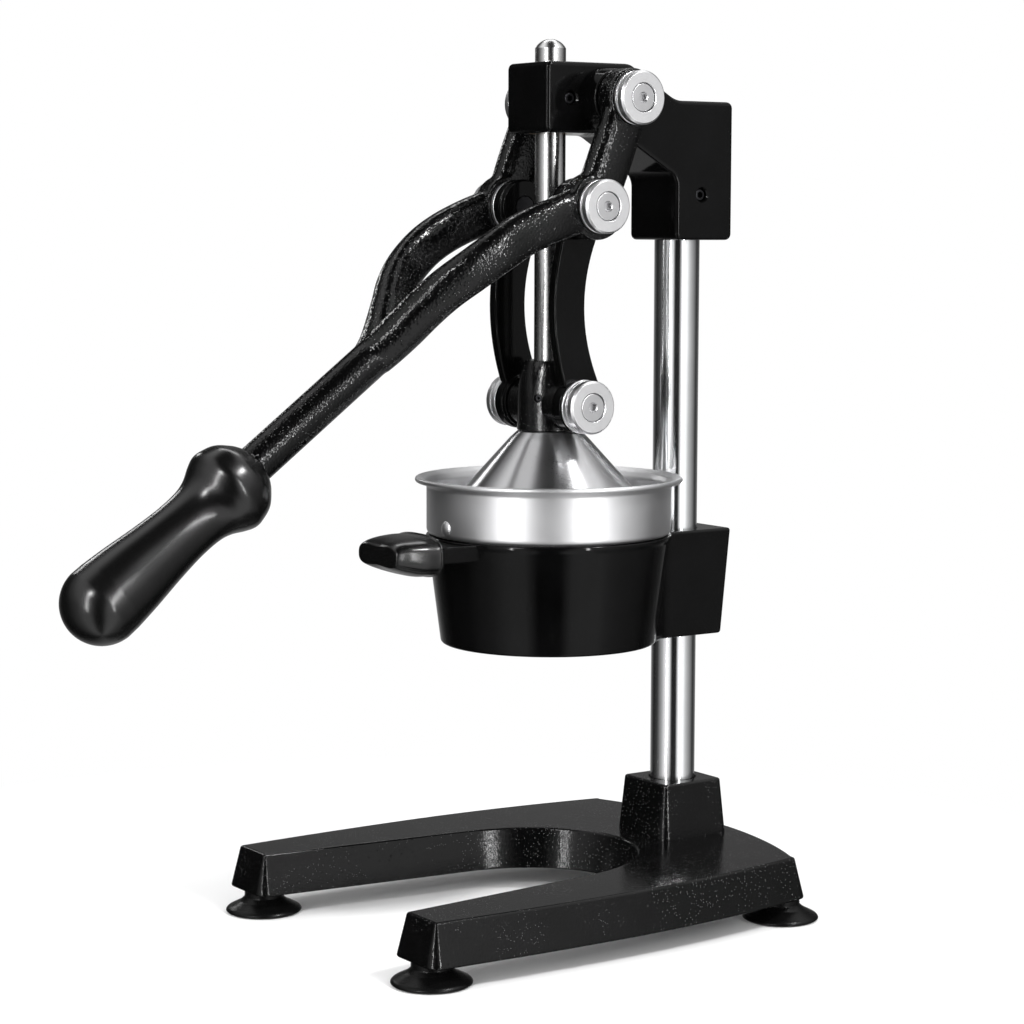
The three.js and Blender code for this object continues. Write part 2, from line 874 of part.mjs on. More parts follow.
function headScrews() {
  const columnTip = columnRadius + runningGap;
  const columnEnd = headHalfWidthAt(columnSetback) - setScrewSink;
  const bushTip = bushRadius + runningGap;
  const bushEnd = headHalfWidthAt(0) - setScrewSink;
  const screw = (tip, end) => setScrew(setScrewRadius, end - tip, setScrewSocket);
  return group(
    piece("column_set_screw", screw(columnTip, columnEnd), darkSteel, {
      position: new THREE.Vector3(columnTip, columnSetback, headUnderside + columnScrewRise),
      rotation: new THREE.Euler(0, quarterTurn, 0),
    }),
    piece("bush_set_screw", screw(bushTip, bushEnd), darkSteel, {
      position: new THREE.Vector3(bushTip, 0, headTop - bushScrewDrop),
      rotation: new THREE.Euler(0, quarterTurn, 0),
    }),
  );
}

function guideBush() {
  return solid(ring(rodRadius + runningGap, bushRadius, headFrontUnderside, headTop, capFacets));
}

// Cap, washer, screw and pins of the pivots, each along Z from its inner face

function pivotCap() {
  const profile = [
    [capScrewRadius + runningGap, 0],
    [capRadius, 0],
    [capRadius, capGrooveRise],
    [capRadius - capGrooveDepth, capGrooveRise],
    [capRadius - capGrooveDepth, capGrooveRise + capGrooveWidth],
    [capRadius, capGrooveRise + capGrooveWidth],
    [capRadius, capThickness - capEdge],
    [capRadius - capEdge, capThickness],
    [capScrewHeadRadius + runningGap, capThickness],
    [capScrewHeadRadius + runningGap, capThickness - capScrewSink - capScrewHeadHeight - runningGap],
    [capScrewRadius + runningGap, capThickness - capScrewSink - capScrewHeadHeight - runningGap],
    [capScrewRadius + runningGap, 0],
  ];
  return solid(turned(profile, capFacets));
}

function capScrew() {
  const top = capThickness - capScrewSink;
  const body = turned(
    [
      [0, -capScrewReach],
      [capScrewRadius, -capScrewReach],
      [capScrewRadius, top - capScrewHeadHeight],
      [capScrewHeadRadius, top - capScrewHeadHeight],
      [capScrewHeadRadius, top],
      [0, top],
    ],
    capFacets,
  );
  return cut(solid(body), solid(hexagon(capScrewSocket, top - capScrewSocketDepth, top + cutOverrun)));
}

const pivotWasher = (thickness) =>
  solid(ring(shaftRadius + runningGap, washerRadius, 0, thickness, capFacets));

// A pin from low to high whose ends that take a cap screw are tapped.
function pivotPin(low, high, tappedEnds) {
  const depth = capScrewReach + runningGap;
  const taps = tappedEnds.map((end) =>
    end > 0
      ? solid(rod(capScrewRadius + runningGap, high - depth, high + cutOverrun, pinFacets))
      : solid(rod(capScrewRadius + runningGap, low - cutOverrun, low + depth, pinFacets)),
  );
  return cut(solid(rod(shaftRadius, low, high, pinFacets)), ...taps);
}

function upperPivotShaft() {
  return piece("upper_pivot_shaft", pivotPin(-leverOuter, leverOuter, [1, -1]), darkSteel, {
    position: new THREE.Vector3(0, upperPivot.x, upperPivot.y),
    rotation: new THREE.Euler(0, quarterTurn, 0),
  });
}

// Hub, cone and rod that travel up and down

function pressHub() {
  const bell = turned(
    [
      [0, hubBottom],
      [hubRadius, hubBottom],
      ...hubShoulderShares.map(([out, up]) => [hubRadius * out, hubBottom + hubHeight * up]),
      [hubTopRadius, hubTop],
      [0, hubTop],
    ],
    capFacets,
  );
  const ears = alongX(rod(hubEarRadius, -hubEarHalfSpan, hubEarHalfSpan, capFacets, linkEdge));
  const across = hubEarHalfSpan + cutOverrun;
  const pinBore = alongX(rod(shaftRadius + runningGap, -across, across, pinFacets));
  const rodBore = rod(rodRadius + runningGap, hubBottom - cutOverrun, hubTop + cutOverrun, capFacets);
  const screwHole = rod(hubScrewRadius + runningGap, 0, hubRadius + cutOverrun, pinFacets);
  const turnedOut = alongX(screwHole).rotateZ(hubScrewAngle - quarterTurn);
  return cut(
    join(solid(bell), solid(ears.translate(0, 0, lowerPivot.y))),
    solid(pinBore.translate(0, 0, lowerPivot.y)),
    solid(rodBore),
    solid(turnedOut.translate(0, 0, lowerPivot.y + hubScrewRise)),
  );
}

function hubSetScrew() {
  const tip = rodRadius + runningGap;
  const length = hubRadius - hubScrewSink - tip;
  const angle = hubScrewAngle - quarterTurn;
  return piece("hub_set_screw", setScrew(hubScrewRadius, length, hubScrewSocket), darkSteel, {
    position: new THREE.Vector3(
      tip * Math.cos(angle),
      tip * Math.sin(angle),
      lowerPivot.y + hubScrewRise,
    ),
    rotation: new THREE.Euler(0, quarterTurn, angle, "ZYX"),
  });
}

const coneStepHeight = coneTop - coneStepDrop;

function pressCone() {
  const line = [
    [coneEdgeRadius, coneEdgeHeight],
    [coneStepRadius + coneStepLip, coneStepHeight - coneStepLip],
    [coneStepRadius, coneStepHeight],
    [coneTopRadius, coneTop],
    [rodRadius + runningGap, coneTop],
  ];
  return solid(turned(sheet(line, coneThickness), rimFacets));
}

const coneWasherTop = coneTop - coneThickness - runningGap;
const coneNutTop = coneWasherTop - coneWasherThickness - runningGap;

function coneFastening() {
  const washer = ring(
    rodRadius + runningGap,
    coneWasherRadius,
    coneWasherTop - coneWasherThickness,
    coneWasherTop,
    capFacets,
  );
  const nutUnderside = coneNutTop - coneNutHeight;
  const nut = cut(
    solid(hexagon(coneNutAcross, nutUnderside, coneNutTop)),
    solid(
      rod(rodRadius + runningGap, nutUnderside - cutOverrun, coneNutTop + cutOverrun, capFacets),
    ),
  );
  return group(piece("cone_washer", solid(washer), darkSteel), piece("cone_nut", nut, darkSteel));
}

function guideRod() {
  const low = coneNutTop - coneNutHeight - rodTail;
  const domeRadius = (rodRadius ** 2 + rodDome ** 2) / rodDome / 2;
  const dome = rodDomeShares.map((share) => {
    const radius = rodRadius * share;
    return [radius, rodTop - domeRadius + Math.sqrt(domeRadius ** 2 - radius ** 2)];
  });
  const shoulder = [rodRadius, rodTop - rodDome];
  return solid(turned([[0, low], [rodRadius, low], shoulder, ...dome, [0, rodTop]], capFacets));
}

// Link of the right side, in place

function link() {
  const middle = (middlePivot.y + lowerPivot.y) / 2;
  const low = lowerPivot.y + linkNeckReach;
  const high = middlePivot.y - linkNeckReach;
  const web = new THREE.Shape();
  web.moveTo(linkNeckHalfWidth, low);
  web.quadraticCurveTo(2 * linkWaistBack - linkNeckHalfWidth, middle, linkNeckHalfWidth, high);
  web.lineTo(middlePivot.x, middlePivot.y);
  web.lineTo(-linkNeckHalfWidth, high);
  web.quadraticCurveTo(linkNeckHalfWidth - 2 * linkWaistFront, middle, -linkNeckHalfWidth, low);
  web.lineTo(lowerPivot.x, lowerPivot.y);
  const outline = web.getPoints(linkCurveSteps);
  outline.pop();
  const webInner = linkOuter - linkWebThickness;
  const body = solid(stack(outline, slab(webInner, linkOuter, linkEdge)).applyMatrix4(sideView));
  const eye = turned(
    [
      [0, linkInner],
      [linkBossRadius, linkInner],
      [linkBossRadius, webInner],
      [linkEyeRadius - linkEdge, webInner],
      [linkEyeRadius, webInner + linkEdge],
      [linkEyeRadius, linkOuter - linkEdge],
      [linkEyeRadius - linkEdge, linkOuter],
      [0, linkOuter],
    ],
    capFacets,
  );
  const bore = rod(shaftRadius + runningGap, linkInner - cutOverrun, linkOuter + cutOverrun, pinFacets);
  const pivots = [middlePivot, lowerPivot];
  const at = (geometry, pivot) => solid(alongX(geometry.clone()).translate(0, pivot.x, pivot.y));
  return cut(
    join(body, ...pivots.map((pivot) => at(eye, pivot))),
    ...pivots.map((pivot) => at(bore, pivot)),
  );
}

// Lever casting, with a flat seat for each cap and washer

const shaftDirection = new THREE.Vector3(0, -Math.cos(shaftDropAngle), -Math.sin(shaftDropAngle));
const forkEnd = new THREE.Vector3(0, middlePivot.x - forkReach, middlePivot.y - forkDrop);

function crankArm() {
  const top = new THREE.Vector3(leverMiddle, upperPivot.x, upperPivot.y);
  const bottom = new THREE.Vector3(leverMiddle, middlePivot.x, middlePivot.y);
  const travel = bottom.clone().sub(top).normalize();
  const sections = crankSectionShares.map(([share, width]) => {
    const centre = top.clone().lerp(bottom, share);
    centre.x = leverInner + (leverThickness * width) / 2;
    return { centre, travel, halfWidth: (leverThickness * width) / 2, halfDepth: leverDepth / 2 };
  });
  return sweep(sections, leverSectionPoints, sectionSquareness);
}

function forkArm() {
  const points = forkPathShares.map(
    ([out, forward, down]) =>
      new THREE.Vector3(
        leverMiddle * out,
        middlePivot.x - forkReach * forward,
        middlePivot.y - forkDrop * down,
      ),
  );
  const path = new THREE.CatmullRomCurve3(points, false, "centripetal");
  const sections = Array.from({ length: leverSteps + 1 }, (_, k) => {
    const share = k / leverSteps;
    return {
      centre: path.getPointAt(share),
      travel: path.getTangentAt(share),
      halfWidth: (leverThickness * readOff(forkWidthShares, share)) / 2,
      halfDepth: (leverDepth * readOff(forkDepthShares, share)) / 2,
    };
  });
  return sweep(sections, leverSectionPoints, sectionSquareness);
}

function leverEye(radius) {
  return rod(radius, leverInner, leverOuter, capFacets, leverEyeEdge);
}

function leverCasting() {
  const at = (geometry, pivot) => alongX(geometry).translate(0, pivot.x, pivot.y);
  const half = [
    crankArm(),
    forkArm(),
    at(leverEye(leverEyeRadius), upperPivot),
    at(leverEye(leverMiddleEyeRadius), middlePivot),
  ];
  const shaft = turned(
    [
      [0, -leverShaftRadius],
      [leverShaftRadius / 2, -leverShaftRadius],
      [leverShaftRadius, -leverShaftRadius / 2],
      [leverShaftRadius, leverShaftLength],
      [leverTangRadius, leverShaftLength],
      [leverTangRadius, leverShaftLength + leverTangLength],
      [0, leverShaftLength + leverTangLength],
    ],
    capFacets,
  );
  shaft.rotateX(quarterTurn + shaftDropAngle).translate(forkEnd.x, forkEnd.y, forkEnd.z);
  const across = leverOuter + leverThickness;
  const faceRadius = washerRadius + 2 * runningGap;
  const seats = [upperPivot, middlePivot].flatMap((pivot) => [
    at(rod(shaftRadius + runningGap, -across, across, pinFacets), pivot),
    at(rod(faceRadius, leverOuter, across, capFacets), pivot),
    at(rod(faceRadius, -across, -leverOuter, capFacets), pivot),
    at(rod(leverMiddleEyeRadius, -leverInner, leverInner, capFacets), pivot),
  ]);
  return cut(
    join(solid(shaft), ...half.flatMap((one) => [solid(one), solid(mirrored(one))])),
    ...seats.map(solid),
  );
}

// Grip on the lever's end, along Z from its collar

function leverGrip() {
  const bulbCentre = gripLength - gripBulbRadius;
  const curve = new THREE.SplineCurve(
    gripProfileShares.map(([along, out]) => new THREE.Vector2(gripBulbRadius * out, gripLength * along)),
  );
  const neck = curve.getPoints(gripSteps).map((point) => [point.x, point.y]);
  const bulb = [];
  for (let k = 1; k <= bulbSteps; k++) {
    const angle = (quarterTurn * k) / bulbSteps;
    bulb.push([gripBulbRadius * Math.cos(angle), bulbCentre + gripBulbRadius * Math.sin(angle)]);
  }
  bulb[bulb.length - 1][0] = 0;
  const mouth = neck[0][1];
  const boreRadius = leverTangRadius + runningGap;
  const profile = [
    [0, leverTangLength + mouth],
    [boreRadius, leverTangLength + mouth],
    [boreRadius, mouth],
    [gripMouthRadius, mouth],
    ...neck,
    ...bulb,
  ];
  return solid(turned(profile, footFacets));
}

// Funnel and strainer

function funnel() {
  const rimHeight = funnelFloor + funnelWallHeight - funnelBeadRadius;
  const round = [];
  for (let k = 0; k <= arcSteps; k++) {
    const angle = (quarterTurn * k) / arcSteps;
    round.push([
      funnelWallRadius - funnelFloorRound * (1 - Math.cos(angle)),
      funnelSeat + funnelFloorRound * (1 - Math.sin(angle)),
    ]);
  }
  const line = [
    [funnelRimRadius, rimHeight],
    [funnelWallRadius + (funnelRimRadius - funnelWallRadius) / 3, rimHeight - funnelRimDrop / 2],
    [funnelWallRadius, rimHeight - funnelRimDrop],
    ...round,
    [funnelSeatRadius, funnelSeat],
    [funnelThroatRadius, funnelThroat],
  ];
  const body = solid(turned(sheet(line, -funnelSheet), rimFacets));
  const bead = [];
  for (let k = 0; k <= arcSteps * 2; k++) {
    const angle = (halfTurn * k) / arcSteps;
    bead.push([
      funnelRimRadius + funnelBeadRadius * Math.cos(angle),
      rimHeight + funnelBeadRadius * Math.sin(angle),
    ]);
  }
  return join(body, solid(turned(bead, rimFacets)));
}

// The spout's collar lies along the underside of the funnel's floor.
function funnelSpout() {
  const slope = Math.atan2(funnelThroatDrop, funnelSeatRadius - funnelThroatRadius);
  const collar = funnelThroat - runningGap / Math.cos(slope);
  const line = [
    [funnelThroatRadius + spoutLap * Math.cos(slope), collar + spoutLap * Math.sin(slope)],
    [funnelThroatRadius, collar],
    [spoutRadius, collar - spoutNeck],
    [spoutRadius, funnelThroat - spoutLength],
  ];
  return solid(turned(sheet(line, funnelSheet), capFacets));
}

function strainer() {
  const slope = new THREE.Vector2(
    coneEdgeRadius - coneStepRadius,
    coneEdgeHeight - coneStepHeight,
  ).normalize();
  const standoff = coneThickness + strainerStandoff;
  const start = new THREE.Vector2(
    coneEdgeRadius + slope.y * standoff,
    coneEdgeHeight - slope.x * standoff,
  );
  const onSlope = (radius) => start.y + ((radius - start.x) * slope.y) / slope.x;
  const flange = funnelFloor + runningGap + strainerSheet;
  const footShare = (flange - start.y) / slope.y;
  const slopeFoot = start.x + slope.x * footShare;
  const topHeight = onSlope(strainerTopRadius);
  const line = [
    [strainerFlangeRadius, flange],
    [slopeFoot, flange],
    [strainerTopRadius, topHeight],
    [strainerTopRadius - strainerCrownWidth, topHeight + strainerCrown],
    [0, topHeight + strainerCrown],
  ];
  const body = solid(turned(sheet(line, strainerSheet), rimFacets));
  const holes = strainerRowShares.flatMap((share, row) => {
    const radius = THREE.MathUtils.lerp(slopeFoot, strainerTopRadius, share);
    const height = THREE.MathUtils.lerp(flange, topHeight, share);
    const count = strainerRowCounts[strainerRowCounts.length - 1 - row];
    return Array.from({ length: count }, (_, k) => {
      const hole = rod(strainerHoleRadius, -strainerHoleRadius * 2, strainerHoleRadius * 2, hexFacets);
      hole.rotateY(Math.atan2(-slope.y, slope.x)).translate(radius, 0, height);
      return solid(hole.rotateZ((2 * halfTurn * (k + row / 2)) / count));
    });
  });
  return cut(body, ...holes);
}

// Cup ring with its column block and tang

function cupCasting() {
  const outside = turned(
    [
      [0, cupBottom],
      [cupFootRadius - cupEdge, cupBottom],
      [cupFootRadius, cupBottom + cupEdge],
      [cupTopRadius, cupTop - 2 * cupRimHeight],
      [cupRimRadius, cupTop - cupRimHeight],
      [cupRimRadius, cupTop - cupEdge / 2],
      [cupRimRadius - cupEdge / 2, cupTop],
      [0, cupTop],
    ],
    rimFacets,
  );
  const inside = turned(
    [
      [0, cupBottom - cutOverrun],
      [cupFootRadius - cupWall, cupBottom - cutOverrun],
      [cupFootRadius - cupWall, cupBottom],
      [cupTopRadius - cupWall, cupTop],
      [cupTopRadius - cupWall, cupTop + cutOverrun],
      [0, cupTop + cutOverrun],
    ],
    rimFacets,
  );
  const blockTop = cupTop - cupBlockTopDrop;
  const flareFront = columnSetback - columnRadius - cupBlockFlareSpread;
  const blockOutline = rounded([
    [cupBlockHalfWidth, cupBlockBackReach, cupBlockCorner],
    [-cupBlockHalfWidth, cupBlockBackReach, cupBlockCorner],
    [-cupBlockHalfWidth, flareFront + cupBlockFlare / 2, cupBlockFlare],
    [-cupBlockHalfWidth - cupBlockFlare, flareFront - cupBlockFlare, 0],
    [cupBlockHalfWidth + cupBlockFlare, flareFront - cupBlockFlare, 0],
    [cupBlockHalfWidth, flareFront + cupBlockFlare / 2, cupBlockFlare],
  ]);
  const blockBottom = cupBottom - cupBlockTopDrop;
  const block = stack(blockOutline, slab(blockBottom, blockTop, cupBlockEdge));
  const place = block.attributes.position;
  for (let i = 0; i < place.count; i++) {
    const down = (blockTop - place.getZ(i)) / cupHeight;
    const out = Math.max(0, place.getY(i) - flareFront) / (cupBlockBackReach - flareFront);
    place.setY(i, place.getY(i) - cupBlockDraft * down * out);
  }
  const boreBottom = blockBottom - cutOverrun;
  const bore = rod(columnRadius + runningGap, boreBottom, cupTop + cutOverrun, capFacets);
  const screwHoleEnd = cupBlockBackReach - columnSetback + cutOverrun;
  const screwHole = alongY(rod(setScrewRadius + runningGap, 0, screwHoleEnd, pinFacets));
  return cut(
    join(solid(outside), solid(block), tang()),
    solid(inside),
    solid(bore.translate(0, columnSetback, 0)),
    solid(screwHole.translate(0, columnSetback, cupTop - cupScrewDrop)),
  );
}

const tangTop = cupTop - tangDrop;
const tangMiddle = tangTop - tangThickness / 2;

function tang() {
  const wallInside = cupFootRadius - cupWall;
  const outline = [
    [tangHalfWidth, -wallInside],
    [-tangHalfWidth, -wallInside],
    [-tangHalfWidth, -tangReach],
    [tangHalfWidth, -tangReach],
  ].map(([x, y]) => new THREE.Vector2(x, y));
  const plate = stack(outline, slab(tangTop - tangThickness, tangTop, tangEdge));
  const tongueOutline = rounded([
    [tongueHalfWidth, -tangReach + cutOverrun, 0],
    [-tongueHalfWidth, -tangReach + cutOverrun, 0],
    [-tongueHalfWidth, -tangReach - tongueLength, tangEdge],
    [tongueHalfWidth, -tangReach - tongueLength, tangEdge],
  ]);
  const tongueTop = tangMiddle + tongueHalfThickness;
  const tongue = stack(tongueOutline, slab(tangMiddle - tongueHalfThickness, tongueTop, 0));
  return join(solid(plate), solid(tongue));
}

function cupSetScrew() {
  const screwHeight = cupTop - cupScrewDrop;
  const tip = columnSetback + columnRadius + runningGap;
  const length = cupBlockBackReach - cupBlockDraft - setScrewSink - tip;
  return piece("cup_set_screw", setScrew(setScrewRadius, length, setScrewSocket), darkSteel, {
    position: new THREE.Vector3(0, tip, screwHeight),
    rotation: new THREE.Euler(-quarterTurn, 0, 0),
  });
}

function cupGrip() {
  const root = -tangReach - runningGap;
  const travel = new THREE.Vector3(0, -1, 0);
  const sections = cupGripShares.map(([along, width, height, sink, valley]) => ({
    centre: new THREE.Vector3(0, root - cupGripLength * along, tangMiddle - cupGripSink * sink),
    travel,
    halfWidth: cupGripHalfWidth * width,
    halfDepth: cupGripHalfHeight * height,
    valley,
  }));
  const body = solid(sweep(sections, gripSectionPoints, cupGripSquareness));
  const pocketOutline = [
    [tongueHalfWidth + runningGap, root + cutOverrun],
    [-tongueHalfWidth - runningGap, root + cutOverrun],
    [-tongueHalfWidth - runningGap, -tangReach - tongueLength - runningGap],
    [tongueHalfWidth + runningGap, -tangReach - tongueLength - runningGap],
  ].map(([x, y]) => new THREE.Vector2(x, y));
  const reach = tongueHalfThickness + runningGap;
  const pocket = stack(pocketOutline, slab(tangMiddle - reach, tangMiddle + reach, 0));
  return cut(body, solid(pocket));
}

// Assembly

function stand() {
  const position = new THREE.Vector3(0, columnSetback, 0);
  return group(
    piece("base_casting", baseCasting(), hammered),
    feet(),
    piece("column", column(), chrome, { position }),
    piece("column_bolt", columnBolt(), darkSteel, { position }),
    piece("column_washer", columnWasher(), darkSteel, { position }),
    piece("head_casting", headCasting(), satinBlack),
    headScrews(),
    piece("rod_guide_bush", guideBush(), bronze),
  );
}

function cupSet() {
  return group(
    piece("cup_casting", cupCasting(), satinBlack),
    cupSetScrew(),
    piece("cup_grip", cupGrip(), phenolic),
    piece("funnel", funnel(), stainless),
    piece("funnel_spout", funnelSpout(), stainless),
    piece("strainer", strainer(), stainless),
  );
}

function plunger() {
  const pinStart = rodRadius + 2 * runningGap;
  const pin = pivotPin(pinStart, lowerCapInner - runningGap, [1]);
  const washer = pivotWasher(lowerWasherThickness);
  const cap = pivotCap();
  const screw = capScrew();
  return group(
    piece("guide_rod", guideRod(), brushedSteel),
    piece("press_hub", pressHub(), satinBlack),
    hubSetScrew(),
    piece("press_cone", pressCone(), stainless),
    coneFastening(),
    ...sides.flatMap(([name, side]) => [
      piece("lower_pivot_pin_" + name, pin, darkSteel, onPivot(lowerPivot, side, 0)),
      piece("lower_washer_" + name, washer, aluminium, onPivot(lowerPivot, side, lowerWasherInner)),
      piece("lower_cap_" + name, cap, aluminium, onPivot(lowerPivot, side, lowerCapInner)),
      piece("lower_cap_screw_" + name, screw, darkSteel, onPivot(lowerPivot, side, lowerCapInner)),
    ]),
  );
}

function links() {
  const right = geometryOf(link());
  const stub = pivotPin(linkInner, linkOuter, []);
  return group(
    piece("link_right", solid(right), satinBlack),
    piece("link_left", solid(mirrored(right)), satinBlack),
    ...sides.map(([name, side]) =>
      piece("middle_pin_inner_" + name, stub, darkSteel, onPivot(middlePivot, side, 0)),
    ),
  );
}

function lever() {
  const pin = pivotPin(middleWasherInner, leverOuter, [1]);
  const washer = pivotWasher(washerThickness);
  const cap = pivotCap();
  const screw = capScrew();
  const collar = forkEnd.clone().addScaledVector(shaftDirection, leverShaftLength + runningGap);
  return group(
    piece("lever_casting", leverCasting(), hammered),
    piece("lever_grip", leverGrip(), phenolic, {
      position: collar.addScaledVector(shaftDirection, -gripLength * gripProfileShares[0][0]),
      rotation: new THREE.Euler(quarterTurn + shaftDropAngle, 0, 0),
    }),
    upperPivotShaft(),
    ...sides.flatMap(([name, side]) => [
      piece("upper_cap_" + name, cap, aluminium, onPivot(upperPivot, side, outerCapInner)),
      piece("upper_cap_screw_" + name, screw, darkSteel, onPivot(upperPivot, side, outerCapInner)),
      piece("middle_pin_outer_" + name, pin, darkSteel, onPivot(middlePivot, side, 0)),
      piece("middle_washer_" + name, washer, aluminium, onPivot(middlePivot, side, middleWasherInner)),
      piece("middle_cap_" + name, cap, aluminium, onPivot(middlePivot, side, outerCapInner)),
      piece("middle_cap_screw_" + name, screw, darkSteel, onPivot(middlePivot, side, outerCapInner)),
    ]),
  );
}

const assembly = group(stand(), cupSet(), plunger(), links(), lever());
const reach = new THREE.Box3().setFromObject(assembly, true);
assembly.position.y = -(reach.min.y + reach.max.y) / 2;

const press = group(assembly);
export default press;
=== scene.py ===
import json
import math

import bmesh
import bpy
import numpy as np
from mathutils import Matrix, Vector
from mathutils.geometry import tessellate_polygon


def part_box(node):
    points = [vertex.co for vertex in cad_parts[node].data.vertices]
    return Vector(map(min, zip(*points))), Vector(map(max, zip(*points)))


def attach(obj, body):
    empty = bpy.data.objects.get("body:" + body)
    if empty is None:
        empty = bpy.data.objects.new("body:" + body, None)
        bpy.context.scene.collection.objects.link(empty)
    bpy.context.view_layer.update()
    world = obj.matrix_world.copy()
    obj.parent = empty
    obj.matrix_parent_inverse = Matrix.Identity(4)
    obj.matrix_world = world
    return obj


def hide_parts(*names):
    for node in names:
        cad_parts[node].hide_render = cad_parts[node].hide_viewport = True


# The looks of a lever citrus juice press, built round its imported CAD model.
# Shapes are written in millimetres with the guide rod on x = 0, y = 0 and the table at z = 0.

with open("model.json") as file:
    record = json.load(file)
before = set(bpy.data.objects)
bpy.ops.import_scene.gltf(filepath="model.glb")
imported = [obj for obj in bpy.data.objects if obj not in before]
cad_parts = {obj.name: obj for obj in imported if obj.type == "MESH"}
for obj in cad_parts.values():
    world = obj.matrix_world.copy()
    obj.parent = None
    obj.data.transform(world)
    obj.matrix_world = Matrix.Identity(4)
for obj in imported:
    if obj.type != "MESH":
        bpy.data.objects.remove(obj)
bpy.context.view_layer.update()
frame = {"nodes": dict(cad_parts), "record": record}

MM = 0.001
rod_low, rod_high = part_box("guide_rod")
ROD_Y = (rod_low.y + rod_high.y) / 2 / MM
UP = Vector((0, 0, 1))


def centre_of(node):
    """Middle and half size of a CAD node, in millimetres from the rod's axis."""
    low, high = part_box(node)
    middle = (low + high) / 2 / MM
    half = (high - low) / 2 / MM
    return Vector((middle.x, middle.y - ROD_Y, middle.z)), half


# Camera, fitted to the photograph

CAMERA_AT = Vector((1049.456, -734.998, 332.853))
CAMERA_TURN = 0.9735716
CAMERA_PITCH = 0.1067258
CAMERA_ROLL = 0.0026792
FOCAL_PIXELS = 2681.337
IMAGE_PIXELS = 1024
SENSOR = 36
CLIP = (0.05, 20)


def place_camera():
    data = bpy.data.cameras.new("camera")
    data.sensor_width = SENSOR
    data.lens = SENSOR * FOCAL_PIXELS / IMAGE_PIXELS
    data.clip_start, data.clip_end = CLIP
    camera = bpy.data.objects.new("camera", data)
    camera.matrix_world = (
        Matrix.Translation((CAMERA_AT + Vector((0, ROD_Y, 0))) * MM)
        @ Matrix.Rotation(CAMERA_TURN, 4, "Z")
        @ Matrix.Rotation(math.pi / 2 - CAMERA_PITCH, 4, "X")
        @ Matrix.Rotation(CAMERA_ROLL, 4, "Z")
    )
    bpy.context.scene.collection.objects.link(camera)
    bpy.context.scene.camera = camera


place_camera()

# Node trees and materials


class Tree:
    """A node tree, and short calls that fill it."""

    def __init__(self, owner):
        owner.use_nodes = True
        self.nodes = owner.node_tree.nodes
        self.links = owner.node_tree.links

    def join(self, source, target):
        self.links.new(source, target)

    def node(self, kind, inputs=(), **settings):
        """A new node. Each of the inputs takes a value, or is joined to a socket."""
        made = self.nodes.new(kind)
        for key, value in settings.items():
            setattr(made, key, value)
        for key, value in dict(inputs).items():
            if isinstance(value, bpy.types.NodeSocket):
                self.join(value, made.inputs[key])
            else:
                made.inputs[key].default_value = value
        return made

    def spread(self, source, low, high, new_low, new_high):
        """Moves the range low to high of source onto new_low to new_high."""
        old = {"Value": source, "From Min": low, "From Max": high}
        new = {"To Min": new_low, "To Max": new_high}
        return self.node("ShaderNodeMapRange", {**old, **new}).outputs["Result"]

    def maths(self, operation, *values, kind="ShaderNodeMath"):
        made = self.node(kind, enumerate(values), operation=operation)
        return made.outputs["Value"]

    def vector_maths(self, operation, *values):
        return self.maths(operation, *values, kind="ShaderNodeVectorMath")

    def mixed(self, *share_and_shaders):
        return self.node("ShaderNodeMixShader", enumerate(share_and_shaders)).outputs["Shader"]


# Values between which a noise mostly lies
NOISE_LOW, NOISE_HIGH = 0.3, 0.7
WHITE = (1, 1, 1, 1)


